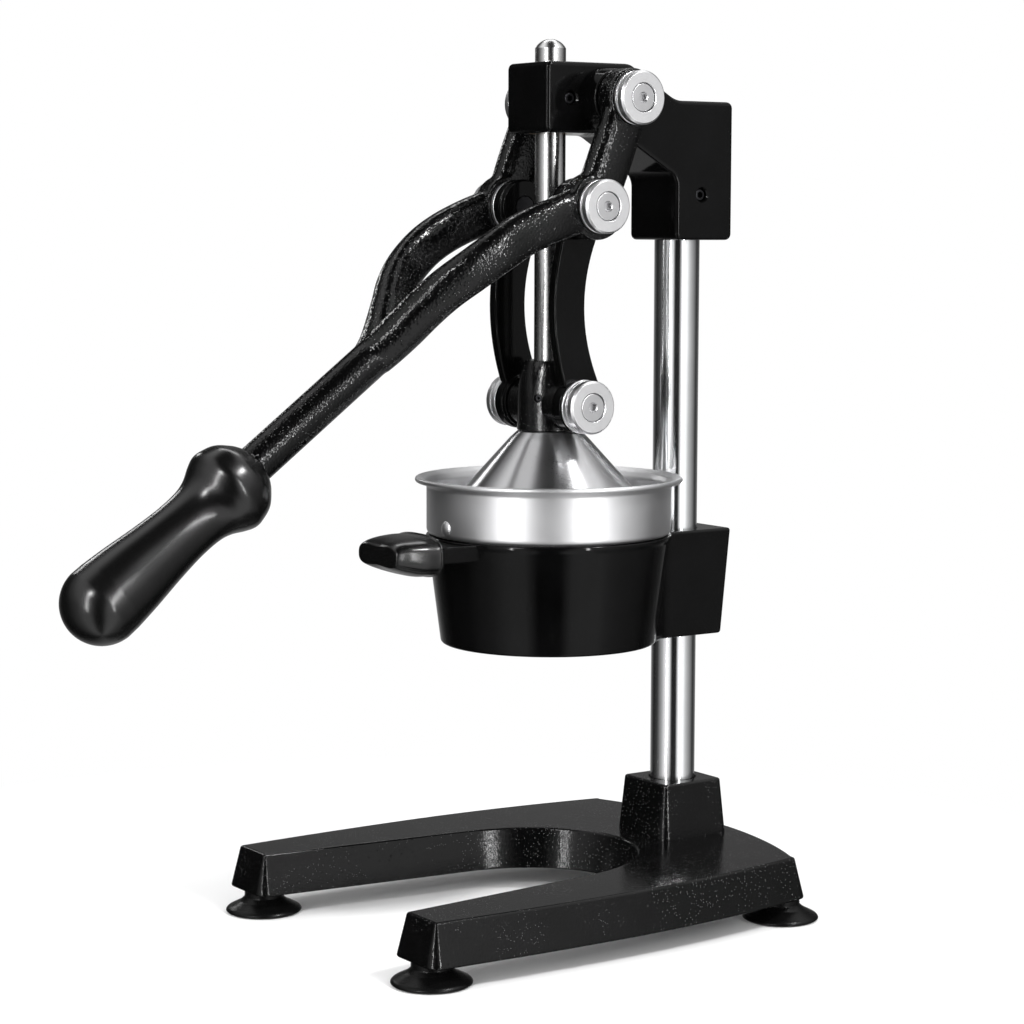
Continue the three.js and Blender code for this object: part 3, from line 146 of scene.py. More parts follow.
class Shader(Tree):
    """A material round a Principled BSDF, with its coordinates in millimetres."""

    def __init__(self, name):
        self.material = bpy.data.materials.new(name)
        super().__init__(self.material)
        self.surface = self.nodes["Principled BSDF"]
        self.place = self.node("ShaderNodeTexCoord").outputs["Object"]
        self.bumps = None

    def scaled(self, scale):
        inputs = {"Vector": self.place, "Scale": [s / MM for s in scale]}
        return self.node("ShaderNodeMapping", inputs).outputs["Vector"]

    def noise(self, size, detail=2, roughness=0.5, stretch=(1, 1, 1)):
        """Noise whose grains are about size millimetres, drawn out by stretch."""
        place = self.scaled([1 / size / s for s in stretch])
        inputs = {"Vector": place, "Scale": 1, "Detail": detail, "Roughness": roughness}
        return self.node("ShaderNodeTexNoise", inputs).outputs["Fac"]

    def dots(self, gap, core, rim, smooth=None):
        """1 on dots about gap millimetres apart, fading from core to rim, shares of gap."""
        inputs = {"Vector": self.scaled([1 / gap] * 3), "Scale": 1}
        feature = "F1" if smooth is None else "SMOOTH_F1"
        made = self.node("ShaderNodeTexVoronoi", inputs, feature=feature)
        if smooth is not None:
            made.inputs["Smoothness"].default_value = smooth
        return self.spread(made.outputs["Distance"], core, rim, 1, 0)

    def colours(self, source, dark, light, high=NOISE_HIGH, tip=None):
        """Dark to light by source, and the colour tip where source is 1; the hammertones paint
        their glints, a painted highlight, with it.
        """
        ramp = self.node("ShaderNodeValToRGB", {"Fac": source})
        stops = ramp.color_ramp.elements
        stops[0].position, stops[1].position = NOISE_LOW, high
        stops[0].color, stops[1].color = (*dark, 1), (*light, 1)
        if tip:
            stops.new(1.0).color = (*tip, 1)
        self.join(ramp.outputs["Color"], self.surface.inputs["Base Color"])

    def shaded(self, source, colour, swing):
        """The colour, darker and lighter by the share swing."""
        dark = [c * (1 - swing) for c in colour]
        self.colours(source, dark, [min(1, c * (1 + swing)) for c in colour])

    def rough(self, source, smooth, dull, low=NOISE_LOW, high=NOISE_HIGH):
        spread = self.spread(source, low, high, smooth, dull)
        self.join(spread, self.surface.inputs["Roughness"])

    def bump(self, source, depth):
        """Raises the surface by up to depth millimetres where source is 1."""
        inputs = {"Height": source, "Strength": 1, "Distance": depth * MM}
        if self.bumps:
            inputs["Normal"] = self.bumps
        self.bumps = self.node("ShaderNodeBump", inputs).outputs["Normal"]
        self.join(self.bumps, self.surface.inputs["Normal"])

    def set(self, **values):
        for key, value in values.items():
            self.surface.inputs[key.replace("_", " ")].default_value = value


INK = (0.001, 0.001, 0.001)
COAT_IOR = 1.5
MOTTLE_HIGH = 0.75
GLINT_HEIGHT, NIB_HEIGHT, DUST_HEIGHT = 0.1, 0.16, 0.12


def hammertone(name, depth, grain, gloss, smooth, dull, painted_glint, glint_gap):
    """Thick enamel over a casting: fine pebbles, a few nibs, and patches of raised dots whose
    tips are painted pale as painted highlights (painted glints).
    """
    s = Shader(name)
    swell = s.noise(grain * 3)
    mottle = s.noise(14, 3)
    patches = s.spread(s.noise(26), 0.42, 0.5, 0, 1)
    # Glint dots in pale patches: raised by GLINT_HEIGHT below, and painted pale through the
    # ramp's tip colour, a painted highlight standing in for sparkle.
    glints = s.maths("MULTIPLY", s.dots(glint_gap, 0.1, 0.2), patches)
    mottle_and_painted_glints = s.maths("MAXIMUM", mottle, glints)
    s.colours(mottle_and_painted_glints, INK, (0.0022, 0.0022, 0.0023), MOTTLE_HIGH, (painted_glint,) * 3)
    s.rough(swell, smooth, dull)
    s.bump(swell, depth * 0.7)
    s.bump(s.dots(grain, 0, 0.7, 0.25), depth)
    s.bump(s.dots(grain * 3.1, 0.02, 0.16), NIB_HEIGHT)
    s.bump(glints, GLINT_HEIGHT)
    s.set(IOR=COAT_IOR, Specular_IOR_Level=gloss)
    return s.material


def enamel(name, gloss, smooth, dull, depth):
    """Satin black coat with a faint orange peel and a few specks of dust."""
    s = Shader(name)
    drift = s.noise(22)
    s.colours(drift, INK, (0.002, 0.002, 0.0021), MOTTLE_HIGH)
    s.rough(drift, smooth, dull)
    s.bump(s.noise(1.7, 3, 0.55), depth)
    s.bump(s.dots(5.5, 0, 0.09), DUST_HEIGHT)
    s.set(IOR=COAT_IOR, Specular_IOR_Level=gloss)
    return s.material


def metal(name, colour, smooth, dull, grain, stretch, depth, anisotropic=0):
    """Bare or plated metal whose grain is drawn out by stretch."""
    s = Shader(name)
    lines = s.noise(grain, 4, 0.65, stretch)
    haze = s.noise(30, 3)
    s.shaded(haze, colour, 0.06)
    s.rough(s.maths("ADD", lines, haze), smooth, dull, 0.7, 1.3)
    if depth:
        s.bump(lines, depth)
    s.set(Metallic=1)
    if anisotropic:
        s.set(Anisotropic=anisotropic, Anisotropic_Rotation=0.25)
    return s.material


def ring_noise(s, pitch):
    """Noise that runs in rings about the piece's own X axis, pitch millimetres apart."""
    parts = s.node("ShaderNodeSeparateXYZ", {"Vector": s.scaled((1, 1, 1))}).outputs
    across = s.node("ShaderNodeCombineXYZ", {"Y": parts["Y"], "Z": parts["Z"]})
    radius = s.vector_maths("LENGTH", across.outputs["Vector"])
    place = s.node("ShaderNodeCombineXYZ", {"X": radius, "Y": parts["X"]}).outputs["Vector"]
    inputs = {"Vector": place, "Scale": 1 / pitch, "Detail": 3}
    return s.node("ShaderNodeTexNoise", inputs).outputs["Fac"]


def turned_metal(name, colour, smooth, dull, pitch, depth):
    """A face and rim turned on a lathe, a little uneven."""
    s = Shader(name)
    rings = ring_noise(s, pitch)
    s.shaded(s.noise(5, 3), colour, 0.05)
    s.rough(rings, smooth, dull)
    s.bump(rings, depth)
    s.set(Metallic=1)
    return s.material


def moulded(name, gloss, smooth, dull, depth, shade):
    """Black plastic or rubber with a faint ripple and dust-fine speckle."""
    s = Shader(name)
    ripple = s.noise(3.2, 3, 0.55)
    s.colours(ripple, [shade * 0.7] * 3, [shade] * 3)
    s.rough(s.noise(0.5), smooth, dull)
    s.bump(ripple, depth)
    s.set(IOR=COAT_IOR, Specular_IOR_Level=gloss)
    return s.material


# Looks by slot name. The columns are the arguments of the function that makes them.

# In COATS the second-last column is the pale shade painted on the glint dots, a painted
# highlight standing in for sparkle.
COATS = {
    "black_hammertone": (0.11, 1.2, 0.3, 0.07, 0.1, 0.18, 1.2),
    "hub_hammertone": (0.035, 0.7, 0.5, 0.1, 0.16, 0.12, 1.5),
    "base_hammertone": (0.035, 0.9, 0.25, 0.09, 0.14, 0.2, 1.2),
}
ENAMELS = {"satin_black": (0.15, 0.06, 0.11, 0.012)}
EVEN = (1, 1, 1)
METALS = {
    "chrome_column": ((0.86, 0.87, 0.88), 0.14, 0.2, 0.35, (1, 1, 90), 0.008, 0.85),
    "brushed_rod": ((0.68, 0.68, 0.68), 0.22, 0.3, 0.3, (1, 1, 12), 0.004, 0.8),
    "stainless_sheet": ((0.7, 0.7, 0.71), 0.4, 0.48, 0.28, (2, 2, 1), 0.006, 0.3),
    "spun_cone": ((0.6, 0.6, 0.61), 0.27, 0.33, 0.25, (6, 6, 1), 0, 0.88),
    "dark_steel": ((0.5, 0.5, 0.51), 0.25, 0.4, 0.4, EVEN, 0.01),
    "black_oxide": ((0.03, 0.03, 0.032), 0.35, 0.5, 0.6, EVEN, 0.01),
    "bronze_bush": ((0.22, 0.15, 0.075), 0.3, 0.45, 0.5, EVEN, 0.01),
}
TURNED = {
    "brushed_aluminium": ((0.86, 0.86, 0.87), 0.26, 0.36, 0.25, 0.012),
    "cap_screw_steel": ((0.62, 0.62, 0.63), 0.28, 0.38, 0.3, 0.01),
}
MOULDED = {
    "black_rubber": (0.15, 0.24, 0.36, 0.015, 0.003),
    "black_phenolic": (0.5, 0.2, 0.26, 0.006, 0.002),
}
MAKERS = (
    (hammertone, COATS), (enamel, ENAMELS), (metal, METALS), (turned_metal, TURNED),
    (moulded, MOULDED),
)
LOOKS = {slot: make(slot, *row) for make, rows in MAKERS for slot, row in rows.items()}

# Shape helpers. A shape is a list of points and a list of faces, in millimetres.


def shares(count):
    """The shares 0 to 1 in count even steps."""
    return [k / count for k in range(count + 1)]


def turned(profile, facets=96):
    """A profile of [radius, height] turned about Z. Points on the axis become poles."""
    closed = profile[0] == profile[-1]
    points, rows = [], []
    for radius, height in profile[:-1] if closed else profile:
        start = len(points)
        count = 1 if abs(radius) < 1e-6 else facets
        for k in range(count):
            angle = 2 * math.pi * k / facets
            points.append((radius * math.cos(angle), radius * math.sin(angle), height))
        rows.append([start + k % count for k in range(facets)])
    if closed:
        rows.append(rows[0])
    faces = []
    for one, two in zip(rows, rows[1:]):
        for k in range(facets):
            n = (k + 1) % facets
            face = list(dict.fromkeys((one[k], one[n], two[n], two[k])))
            if len(face) > 2:
                faces.append(face)
    return points, faces


def rounded(corners, steps=6):
    """A polygon's points, with each corner [x, y, radius] rounded."""
    out = []
    count = len(corners)
    for i, (x, y, radius) in enumerate(corners):
        corner = np.array((x, y), float)
        if not radius:
            out.append(tuple(corner))
            continue
        back = np.array(corners[i - 1][:2], float) - corner
        ahead = np.array(corners[(i + 1) % count][:2], float) - corner
        back /= np.linalg.norm(back)
        ahead /= np.linalg.norm(ahead)
        half = math.acos(np.clip(back @ ahead, -1, 1)) / 2
        middle = (back + ahead) / np.linalg.norm(back + ahead)
        centre = corner + middle * radius / math.sin(half)
        start = corner + back * radius / math.tan(half) - centre
        end = corner + ahead * radius / math.tan(half) - centre
        side = np.array((-start[1], start[0]))
        turn = math.atan2(side @ end, start @ end)
        for share in shares(steps):
            c, s = math.cos(turn * share), math.sin(turn * share)
            out.append(tuple(centre + start * c + side * s))
    return out


def raised(rows, height):
    """Rows [radius, height, rounding], lifted by height."""
    return [(radius, height + rise, bend) for radius, rise, bend in rows]


def profiled(corners, steps=4):
    """A profile from corners [radius, height, fillet]."""
    return [list(p) for p in rounded(corners, steps)]


def area(outline):
    o = np.array(outline)
    n = np.roll(o, -1, 0)
    return float(np.sum(o[:, 0] * n[:, 1] - n[:, 0] * o[:, 1])) / 2


def drawn_in(outline, inset):
    o = np.array(outline, float)
    before = o - np.roll(o, 1, 0)
    after = np.roll(o, -1, 0) - o
    before /= np.linalg.norm(before, axis=1)[:, None]
    after /= np.linalg.norm(after, axis=1)[:, None]
    total = np.stack((-before[:, 1] - after[:, 1], before[:, 0] + after[:, 0]), 1)
    bend = 1 + np.sum(before * after, 1)
    return o + total * inset / bend[:, None]


def skin(rings, caps=None):
    """A closed skin over rings of as many points, with a flat cap on both ends."""
    count = len(rings[0])
    points = [tuple(p) for ring in rings for p in ring]
    faces = []
    for i in range(len(rings) - 1):
        for j in range(count):
            a, b = i * count + j, i * count + (j + 1) % count
            faces.append((a, b, b + count, a + count))
    last = (len(rings) - 1) * count
    for cap in caps or [tuple(range(count))]:
        faces.append(tuple(reversed(cap)))
        faces.append(tuple(last + i for i in cap))
    return points, faces


def stack(outline, levels):
    flat = list(outline) if area(outline) > 0 else list(outline)[::-1]
    caps = []
    for a, b, c in tessellate_polygon([[Vector((x, y, 0)) for x, y in flat]]):
        caps.append((a, b, c) if area([flat[a], flat[b], flat[c]]) > 0 else (a, c, b))
    rings = [[(x, y, height) for x, y in drawn_in(flat, inset)] for height, inset in levels]
    return skin(rings, caps)


def rim(edge, steps):
    """A rounded rim, from the flat face to the side, as rows of [inset, depth]."""
    angles = [math.pi / 2 * share for share in shares(steps)]
    return [(edge * (1 - math.sin(a)), edge * (1 - math.cos(a))) for a in angles]


def slab(low, high, edge, draft=0.0):
    """Levels of a slab whose rims are rounded by edge and whose foot is let out."""
    levels = []
    for inset, depth in rim(edge, 5):
        levels += [(low + depth, inset), (high - depth, inset)]
    levels.sort()
    return [(h, inset - draft * (high - h) / (high - low)) for h, inset in levels]


def power(value, exponent):
    return math.copysign(abs(value) ** exponent, value)


def sweep(sections, count, squareness):
    """Sections (centre, travel, half width, half depth, valley) joined to one skin."""
    sideways = Vector((1, 0, 0))
    rings = []
    for centre, travel, half_width, half_depth, valley in sections:
        across = (sideways - travel * sideways.dot(travel)).normalized()
        down = travel.cross(across)
        ring = []
        for k in range(count):
            angle = 2 * math.pi * k / count
            c, s = math.cos(angle), math.sin(angle)
            waist = 1 - valley * (1 - abs(c)) ** 2
            ring.append(
                centre
                + across * (half_width * power(c, 2 / squareness))
                + down * (half_depth * waist * power(s, 2 / squareness))
            )
        rings.append(ring)
    return skin(rings)


def hermite(a, b, slope_a, slope_b, t):
    """The smooth curve from a to b, whose slopes at its ends are given."""
    return (
        a * (2 * t**3 - 3 * t**2 + 1)
        + slope_a * (t**3 - 2 * t**2 + t)
        + b * (-2 * t**3 + 3 * t**2)
        + slope_b * (t**3 - t**2)
    )


def eased(table, share, column=1):
    """A value read off a table through a smooth curve."""
    xs = [row[0] for row in table]
    i = max(0, min(len(xs) - 2, sum(1 for x in xs if x <= share) - 1))
    t = (share - xs[i]) / (xs[i + 1] - xs[i])

    def slope(k):
        a, b = max(k - 1, 0), min(k + 1, len(xs) - 1)
        return (table[b][column] - table[a][column]) / (xs[b] - xs[a])

    width = xs[i + 1] - xs[i]
    low, high = table[i][column], table[i + 1][column]
    return hermite(low, high, slope(i) * width, slope(i + 1) * width, t)


def sheet(line, thickness):
    """The closed profile of a sheet that follows a line of [radius, height]."""
    p = np.array(line, float)
    other = []
    for i in range(len(p)):
        before = p[i] - p[i - 1] if i else p[1] - p[0]
        after = p[i + 1] - p[i] if i < len(p) - 1 else before
        before = before / np.linalg.norm(before)
        after = after / np.linalg.norm(after)
        total = np.array((-before[1] - after[1], before[0] + after[0]))
        other.append(p[i] + total * thickness / (1 + before @ after))
    closed = [*p, *other[::-1], p[0]]
    return [[max(r, 0.0), z] for r, z in closed]


def moved(shape, matrix):
    points, faces = shape
    return [tuple(matrix @ Vector(p)) for p in points], faces


def at(x, y, z):
    return Matrix.Translation((x, y, z))


ALONG_X = Matrix.Rotation(math.pi / 2, 4, "Y")
ALONG_Y = Matrix.Rotation(-math.pi / 2, 4, "X")
SIDE_VIEW = Matrix(((0, 0, 1, 0), (1, 0, 0, 0), (0, 1, 0, 0), (0, 0, 0, 1)))


def disc(radius, low, high, edge=0.0, facets=96):
    """A round bar along Z, with its rims rounded by edge."""
    if not edge:
        return turned([[0, low], [radius, low], [radius, high], [0, high]], facets)
    arc = rim(edge, 4)
    foot = [[radius - inset, low + depth] for inset, depth in arc]
    head = [[radius - inset, high - depth] for inset, depth in reversed(arc)]
    return turned([[0, low], *foot, *head, [0, high]], facets)


def peg(radius, low, high, place, facets=48):
    """A round bar along the Z of a place."""
    return moved(disc(radius, low, high, 0, facets), place)


def hexagon(across, low, high):
    return disc(across / 2 / math.cos(math.pi / 6), low, high, 0, 6)


def flipped(shape):
    """The same shape mirrored in X."""
    points, faces = shape
    return [(-x, y, z) for x, y, z in points], [tuple(reversed(f)) for f in faces]


# Solids: shapes as Blender objects in millimetres, joined and cut, then finished as pieces.


def solid(shape):
    points, faces = shape
    mesh = bpy.data.meshes.new("solid")
    mesh.from_pydata([tuple(p) for p in points], [], [tuple(f) for f in faces])
    work = bmesh.new()
    work.from_mesh(mesh)
    bmesh.ops.remove_doubles(work, verts=work.verts, dist=1e-5)
    bmesh.ops.recalc_face_normals(work, faces=work.faces)
    if work.calc_volume(signed=True) < 0:
        bmesh.ops.reverse_faces(work, faces=work.faces)
    work.to_mesh(mesh)
    work.free()
    made = bpy.data.objects.new("solid", mesh)
    bpy.context.scene.collection.objects.link(made)
    return made


def settled(made):
    """Bakes the modifiers into the mesh."""
    graph = bpy.context.evaluated_depsgraph_get()
    mesh = bpy.data.meshes.new_from_object(made.evaluated_get(graph))
    made.modifiers.clear()
    old = made.data
    made.data = mesh
    bpy.data.meshes.remove(old)
    return made


def merged(made, others, operation):
    for other in others:
        step = made.modifiers.new(operation, "BOOLEAN")
        step.operation = operation
        step.solver = "MANIFOLD"
        step.object = other
    settled(made)
    for other in others:
        mesh = other.data
        bpy.data.objects.remove(other)
        bpy.data.meshes.remove(mesh)
    return made


def joined(first, *others):
    return merged(solid(first), [solid(o) for o in others], "UNION")


def less(made, *shapes):
    return merged(made, [solid(s) for s in shapes], "DIFFERENCE")


def cast_over(made, grain, passes):
    """Melts the joints of a casting together, as a sand mould leaves them."""
    step = made.modifiers.new("melt", "REMESH")
    step.mode = "VOXEL"
    step.voxel_size = grain
    ease = made.modifiers.new("ease", "SMOOTH")
    ease.factor = 0.5
    ease.iterations = passes
    return settled(made)


def finished(made, node, look, body, sharp=38, origin=None):
    """Names a solid, brings it to metres, shades it, gives it its look, hangs it on its body's
    empty and hides the CAD node it stands for.
    """
    made.name = name = node.replace("_casting", "") + "_fine"
    centre = Vector(origin) if origin else Vector((0, 0, 0))
    made.data.transform(Matrix.Scale(MM, 4) @ Matrix.Translation(-centre))
    made.matrix_world = at(*((centre + Vector((0, ROD_Y, 0))) * MM))
    made.data.shade_smooth()
    made.data.set_sharp_from_angle(angle=math.radians(sharp))
    weigh = made.modifiers.new("weigh", "WEIGHTED_NORMAL")
    weigh.keep_sharp = True
    weigh.weight = 70
    settled(made)
    made.data.name = name
    made.data.materials.clear()
    made.data.materials.append(LOOKS[look])
    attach(made, body)
    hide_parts(node)


# Places and sizes that several pieces share. A profile's rows are [radius, height, fillet].
# The funnel's seat on the cup ring is worked out down from the cone.

COLUMN_Y = centre_of("column")[0].y
UPPER, MIDDLE, LOWER = [
    centre_of(pivot + "_cap_right")[0] for pivot in ("upper", "middle", "lower")
]
GAP = 0.3
OVERRUN = 2
COLUMN_RADIUS = 11.09
COLUMN_BORE = COLUMN_RADIUS + GAP
ROD_RADIUS = 7.33
ROD_BORE = ROD_RADIUS + GAP
PIN_BORE = 5.5
SET_SCREW_HOLE = 3.2
HUB_DROP = 12.6
CONE_TOP = LOWER.z - HUB_DROP - GAP
CONE_HEIGHT = 39.4
FLOOR_DROP = 8.6
SHEET = 1.2
FUNNEL_SEAT = CONE_TOP - CONE_HEIGHT - FLOOR_DROP - SHEET
COARSE, MEDIUM, ROUND, FINE = 32, 48, 96, 128

# Base casting. The outer side of a leg is two arcs that meet where the base is widest.

BASE_HALF_WIDTH, WIDEST_Y = 92, -28
FRONT_SIDE_RADIUS, REAR_SIDE_RADIUS = 1357, 619
TOE_Y, TOE_INNER = -121.2, 64.6
HEEL_Y, HEEL_CORNER = 89.5, 2
BACK_Y, BACK_RADIUS = 105, 200
BAY_BACK, BAY_HALF_WIDTH, BAY_REACH = 43.2, 54, 63
BASE_LOW, BASE_TOP = 10.9, 30.9
BASE_EDGE, BASE_DRAFT = 1.2, 4.9
SOCKET_HALF_WIDTH, SOCKET_HALF_DEPTH, SOCKET_CORNER = 17.3, 17.6, 2.2
SOCKET_TOP, SOCKET_DRAFT, SOCKET_LEAD = 58.1, 3, 11.99
COLUMN_FOOT, BOLT_BORE = 24.8, 5.3
WASHER_RECESS, WASHER_RECESS_TOP = 10.3, 20.1


def base_half_width(y):
    radius = FRONT_SIDE_RADIUS if y < WIDEST_Y else REAR_SIDE_RADIUS
    return BASE_HALF_WIDTH - radius + math.sqrt(radius**2 - (y - WIDEST_Y) ** 2)


def base_outline():
    """From the bay's back round its arc, the toe, the side and the heel, then mirrored."""
    bay_centre = BAY_BACK - BAY_REACH
    corner = Vector((TOE_INNER / BAY_HALF_WIDTH, (TOE_Y - bay_centre) / BAY_REACH))
    quarter = math.pi / 2
    tangent = math.atan2(corner.y, corner.x) + math.acos(1 / corner.length)
    half = []
    for share in shares(32):
        angle = quarter + (tangent - quarter) * share
        x, y = BAY_HALF_WIDTH * math.cos(angle), BAY_REACH * math.sin(angle)
        half.append((x, bay_centre + y, 0))
    half.append((TOE_INNER, TOE_Y, BASE_EDGE))
    half.append((base_half_width(TOE_Y), TOE_Y, BASE_EDGE))
    for share in shares(40)[1:-1]:
        y = TOE_Y + (HEEL_Y - TOE_Y) * share
        half.append((base_half_width(y), y, 0))
    heel = base_half_width(HEEL_Y)
    half.append((heel, HEEL_Y, HEEL_CORNER))
    for share in reversed(shares(32)[1:-1]):
        x = heel * share
        half.append((x, BACK_Y - BACK_RADIUS + math.sqrt(BACK_RADIUS**2 - x**2), 0))
    half.append((0, BACK_Y, 0))
    mirror = [(-x, y, r) for x, y, r in half[1:-1]][::-1]
    return rounded(half + mirror)


def build_base():
    spot = at(0, COLUMN_Y, 0)
    plate = stack(base_outline(), slab(BASE_LOW, BASE_TOP, BASE_EDGE, BASE_DRAFT))
    corners = [
        (x * SOCKET_HALF_WIDTH, COLUMN_Y + y * SOCKET_HALF_DEPTH, SOCKET_CORNER)
        for x, y in ((1, 1), (-1, 1), (-1, -1), (1, -1))
    ]
    sides = slab(BASE_TOP - BASE_EDGE, SOCKET_TOP, BASE_EDGE, SOCKET_DRAFT)
    made = joined(plate, stack(rounded(corners), sides))
    over = SOCKET_TOP + OVERRUN
    less(
        made,
        peg(COLUMN_BORE, COLUMN_FOOT, over, spot, ROUND),
        peg(SOCKET_LEAD, SOCKET_TOP - 0.5, over, spot, ROUND),
        peg(WASHER_RECESS, BASE_LOW - OVERRUN, WASHER_RECESS_TOP, spot),
        peg(BOLT_BORE, BASE_LOW, COLUMN_FOOT + 1, spot, COARSE),
    )
    finished(made, "base_casting", "base_hammertone", "stand")


# Feet

FOOT_PROFILE = (
    (0, 3.4, 0), (7.9, 2.7, 4), (14.4, 0, 0.4), (17, 0, 1.2), (18.64, 1.1, 0.7),
    (17.6, 2.5, 3), (11.5, 5.6, 3), (9.3, 7.6, 1.2), (9.3, 10.6, 0.3), (0, 10.6, 0),
)
STUD_SEAT = 5.1
STUD_HOLES = ((3.3, 12), (5.9, 7.5))


def build_feet():
    profile = profiled(FOOT_PROFILE, 5)
    profile[0][0] = profile[-1][0] = 0
    for place in ("front_right", "front_left", "rear_right", "rear_left"):
        node = "suction_foot_" + place
        middle, _ = centre_of(node)
        spot = at(middle.x, middle.y, 0)
        made = solid(moved(turned(profile), spot))
        for radius, top in STUD_HOLES:
            less(made, peg(radius, STUD_SEAT, top, spot, COARSE))
        finished(made, node, "black_rubber", "stand", 50)


# Column and guide rod

COLUMN_EDGE = 1.2
COLUMN_THREAD, COLUMN_THREAD_DEPTH = 5.3, 24
ROD_EDGE = 0.5
ROD_DOME = 4.4


def build_column():
    middle, half = centre_of("column")
    low, high = middle.z - half.z, middle.z + half.z
    spot = at(0, middle.y, 0)
    bar = solid(moved(disc(COLUMN_RADIUS, low, high, COLUMN_EDGE, FINE), spot))
    less(bar, peg(COLUMN_THREAD, low - OVERRUN, low + COLUMN_THREAD_DEPTH, spot, COARSE))
    finished(bar, "column", "chrome_column", "stand", 50)


def build_rod():
    middle, half = centre_of("guide_rod")
    low, high = middle.z - half.z, middle.z + half.z
    ball = (ROD_RADIUS**2 + ROD_DOME**2) / ROD_DOME / 2
    dome = []
    for share in shares(12):
        radius = ROD_RADIUS * (1 - share)
        dome.append([radius, high - ball + math.sqrt(ball**2 - radius**2)])
    foot = [[0, low], [ROD_RADIUS - ROD_EDGE, low], [ROD_RADIUS, low + ROD_EDGE]]
    bar = solid(turned([*foot, *dome], FINE))
    finished(bar, "guide_rod", "brushed_rod", "plunger", 30)


# Head casting: an arm that carries the lever's bosses, and a clamp block on the column.
# Outline rows are [y, height over the foot, rounding], boss rows [radius, x, rounding].

HEAD_LOW, HEAD_ARM_RISE, HEAD_RISE = 325.7, 50, 83.1
HEAD_OUTLINE = (
    (-13.5, 50, 3), (29, 50, 9), (61.3, 30.7, 9), (61.3, 0, 3), (95, 0, 3), (95, 66.7, 3),
    (61.3, 66.7, 14), (34, 83.1, 9), (-13.5, 83.1, 3),
)
HEAD_FRONT, HEAD_BACK = -13.5, 95
HEAD_FRONT_HALF, HEAD_BACK_HALF, HEAD_EDGE = 16.8, 19.8, 2
BOSS_END = 29.5
BOSS_PROFILE = (
    (0, -29.5, 0), (14, -29.5, 0.9), (15.1, -16.8, 0), (15.1, 16.8, 0), (14, 29.5, 0.9),
    (0, 29.5, 0),
)
BUSH_BORE = 10.6
CLAMP_DEPTH, CLAMP_LEAD = 60.3, 11.9
BUSH_SCREW_RISE, COLUMN_SCREW_RISE = 66.1, 21.8
SCREW_RIM = 4.1


def head_half_width(y):
    share = (y - HEAD_FRONT) / (HEAD_BACK - HEAD_FRONT)
    return HEAD_FRONT_HALF + share * (HEAD_BACK_HALF - HEAD_FRONT_HALF)


def head_body():
    outline = rounded(raised(HEAD_OUTLINE, HEAD_LOW))
    levels = slab(-HEAD_BACK_HALF, HEAD_BACK_HALF, HEAD_EDGE)
    points, faces = moved(stack(outline, levels), SIDE_VIEW)
    return [(x * head_half_width(y) / HEAD_BACK_HALF, y, z) for x, y, z in points], faces


def head_screw_hole(y, rise):
    """A set screw's hole in the right side, and its bevelled rim."""
    side = at(0, y, HEAD_LOW + rise) @ ALONG_X
    face = head_half_width(y)
    low, high = face - 0.7, face + 0.4
    bevel = turned([[0, low], [SET_SCREW_HOLE, low], [SCREW_RIM, high], [0, high]], MEDIUM)
    return [peg(SET_SCREW_HOLE, 5, face + OVERRUN, side), moved(bevel, side)]


def build_head():
    to_pivot = at(0, UPPER.y, UPPER.z) @ ALONG_X
    to_column = at(0, COLUMN_Y, 0)
    made = joined(head_body(), moved(turned(profiled(BOSS_PROFILE)), to_pivot))
    under = HEAD_LOW - OVERRUN
    less(
        made,
        peg(PIN_BORE, -BOSS_END - OVERRUN, BOSS_END + OVERRUN, to_pivot),
        disc(BUSH_BORE, under + HEAD_ARM_RISE, HEAD_LOW + HEAD_RISE + OVERRUN),
        peg(COLUMN_BORE, under, HEAD_LOW + CLAMP_DEPTH, to_column, ROUND),
        peg(CLAMP_LEAD, under, HEAD_LOW + 0.6, to_column, ROUND),
        *head_screw_hole(0, BUSH_SCREW_RISE),
        *head_screw_hole(COLUMN_Y, COLUMN_SCREW_RISE),
    )
    finished(made, "head_casting", "satin_black", "stand")


# Set screws

SCREW_EDGE = 0.5
SCREW_SOCKET, SCREW_SOCKET_DEPTH = 3, 3.2


def set_screw(node, turn):
    """A set screw in its hole, with a hex socket in its outer end."""
    middle, half = centre_of(node)
    length = half.y if turn is ALONG_Y else half.x
    made = solid(disc(half.z, -length, length, SCREW_EDGE, MEDIUM))
    less(made, hexagon(SCREW_SOCKET, length - SCREW_SOCKET_DEPTH, length + 1))
    made.data.transform(at(*middle) @ turn)
    finished(made, node, "black_oxide", "stand")


# Pivot caps, their screws and washers

CAP_PROFILE = (
    (3.3, 0, 0), (12.3, 0, 0.4), (12.55, 2, 0.25), (11.85, 2.1, 0.1), (11.85, 2.9, 0.1),
    (12.55, 3, 0.25), (12.55, 6.1, 0.35), (11.65, 7, 0.3), (7, 7, 0.15), (6.8, 6.7, 0),
    (6.8, 2.7, 0), (3.3, 2.7, 0),
)
CAP_SCREW_TOP = 6.6
CAP_SCREW_PROFILE = (
    (0, -9, 0), (3, -9, 0.4), (3, 3, 0), (6.5, 3, 0.2), (6.5, CAP_SCREW_TOP, 0.45),
    (0, CAP_SCREW_TOP, 0),
)
CAP_SOCKET, CAP_SOCKET_DEPTH = 4, 2.4
CAP_SOCKET_RIM = ((0, 6.1), (2.15, 6.1), (2.75, 6.8), (0, 6.8))
WASHER_RADIUS, WASHER_EDGE = 12.8, 0.3


def build_cap(node, body, inner, stand_up):
    profile = profiled(CAP_PROFILE, 3)
    profile.append(profile[0])
    cap = solid(moved(turned(profile), stand_up))
    finished(cap, node, "brushed_aluminium", body, 30, inner)


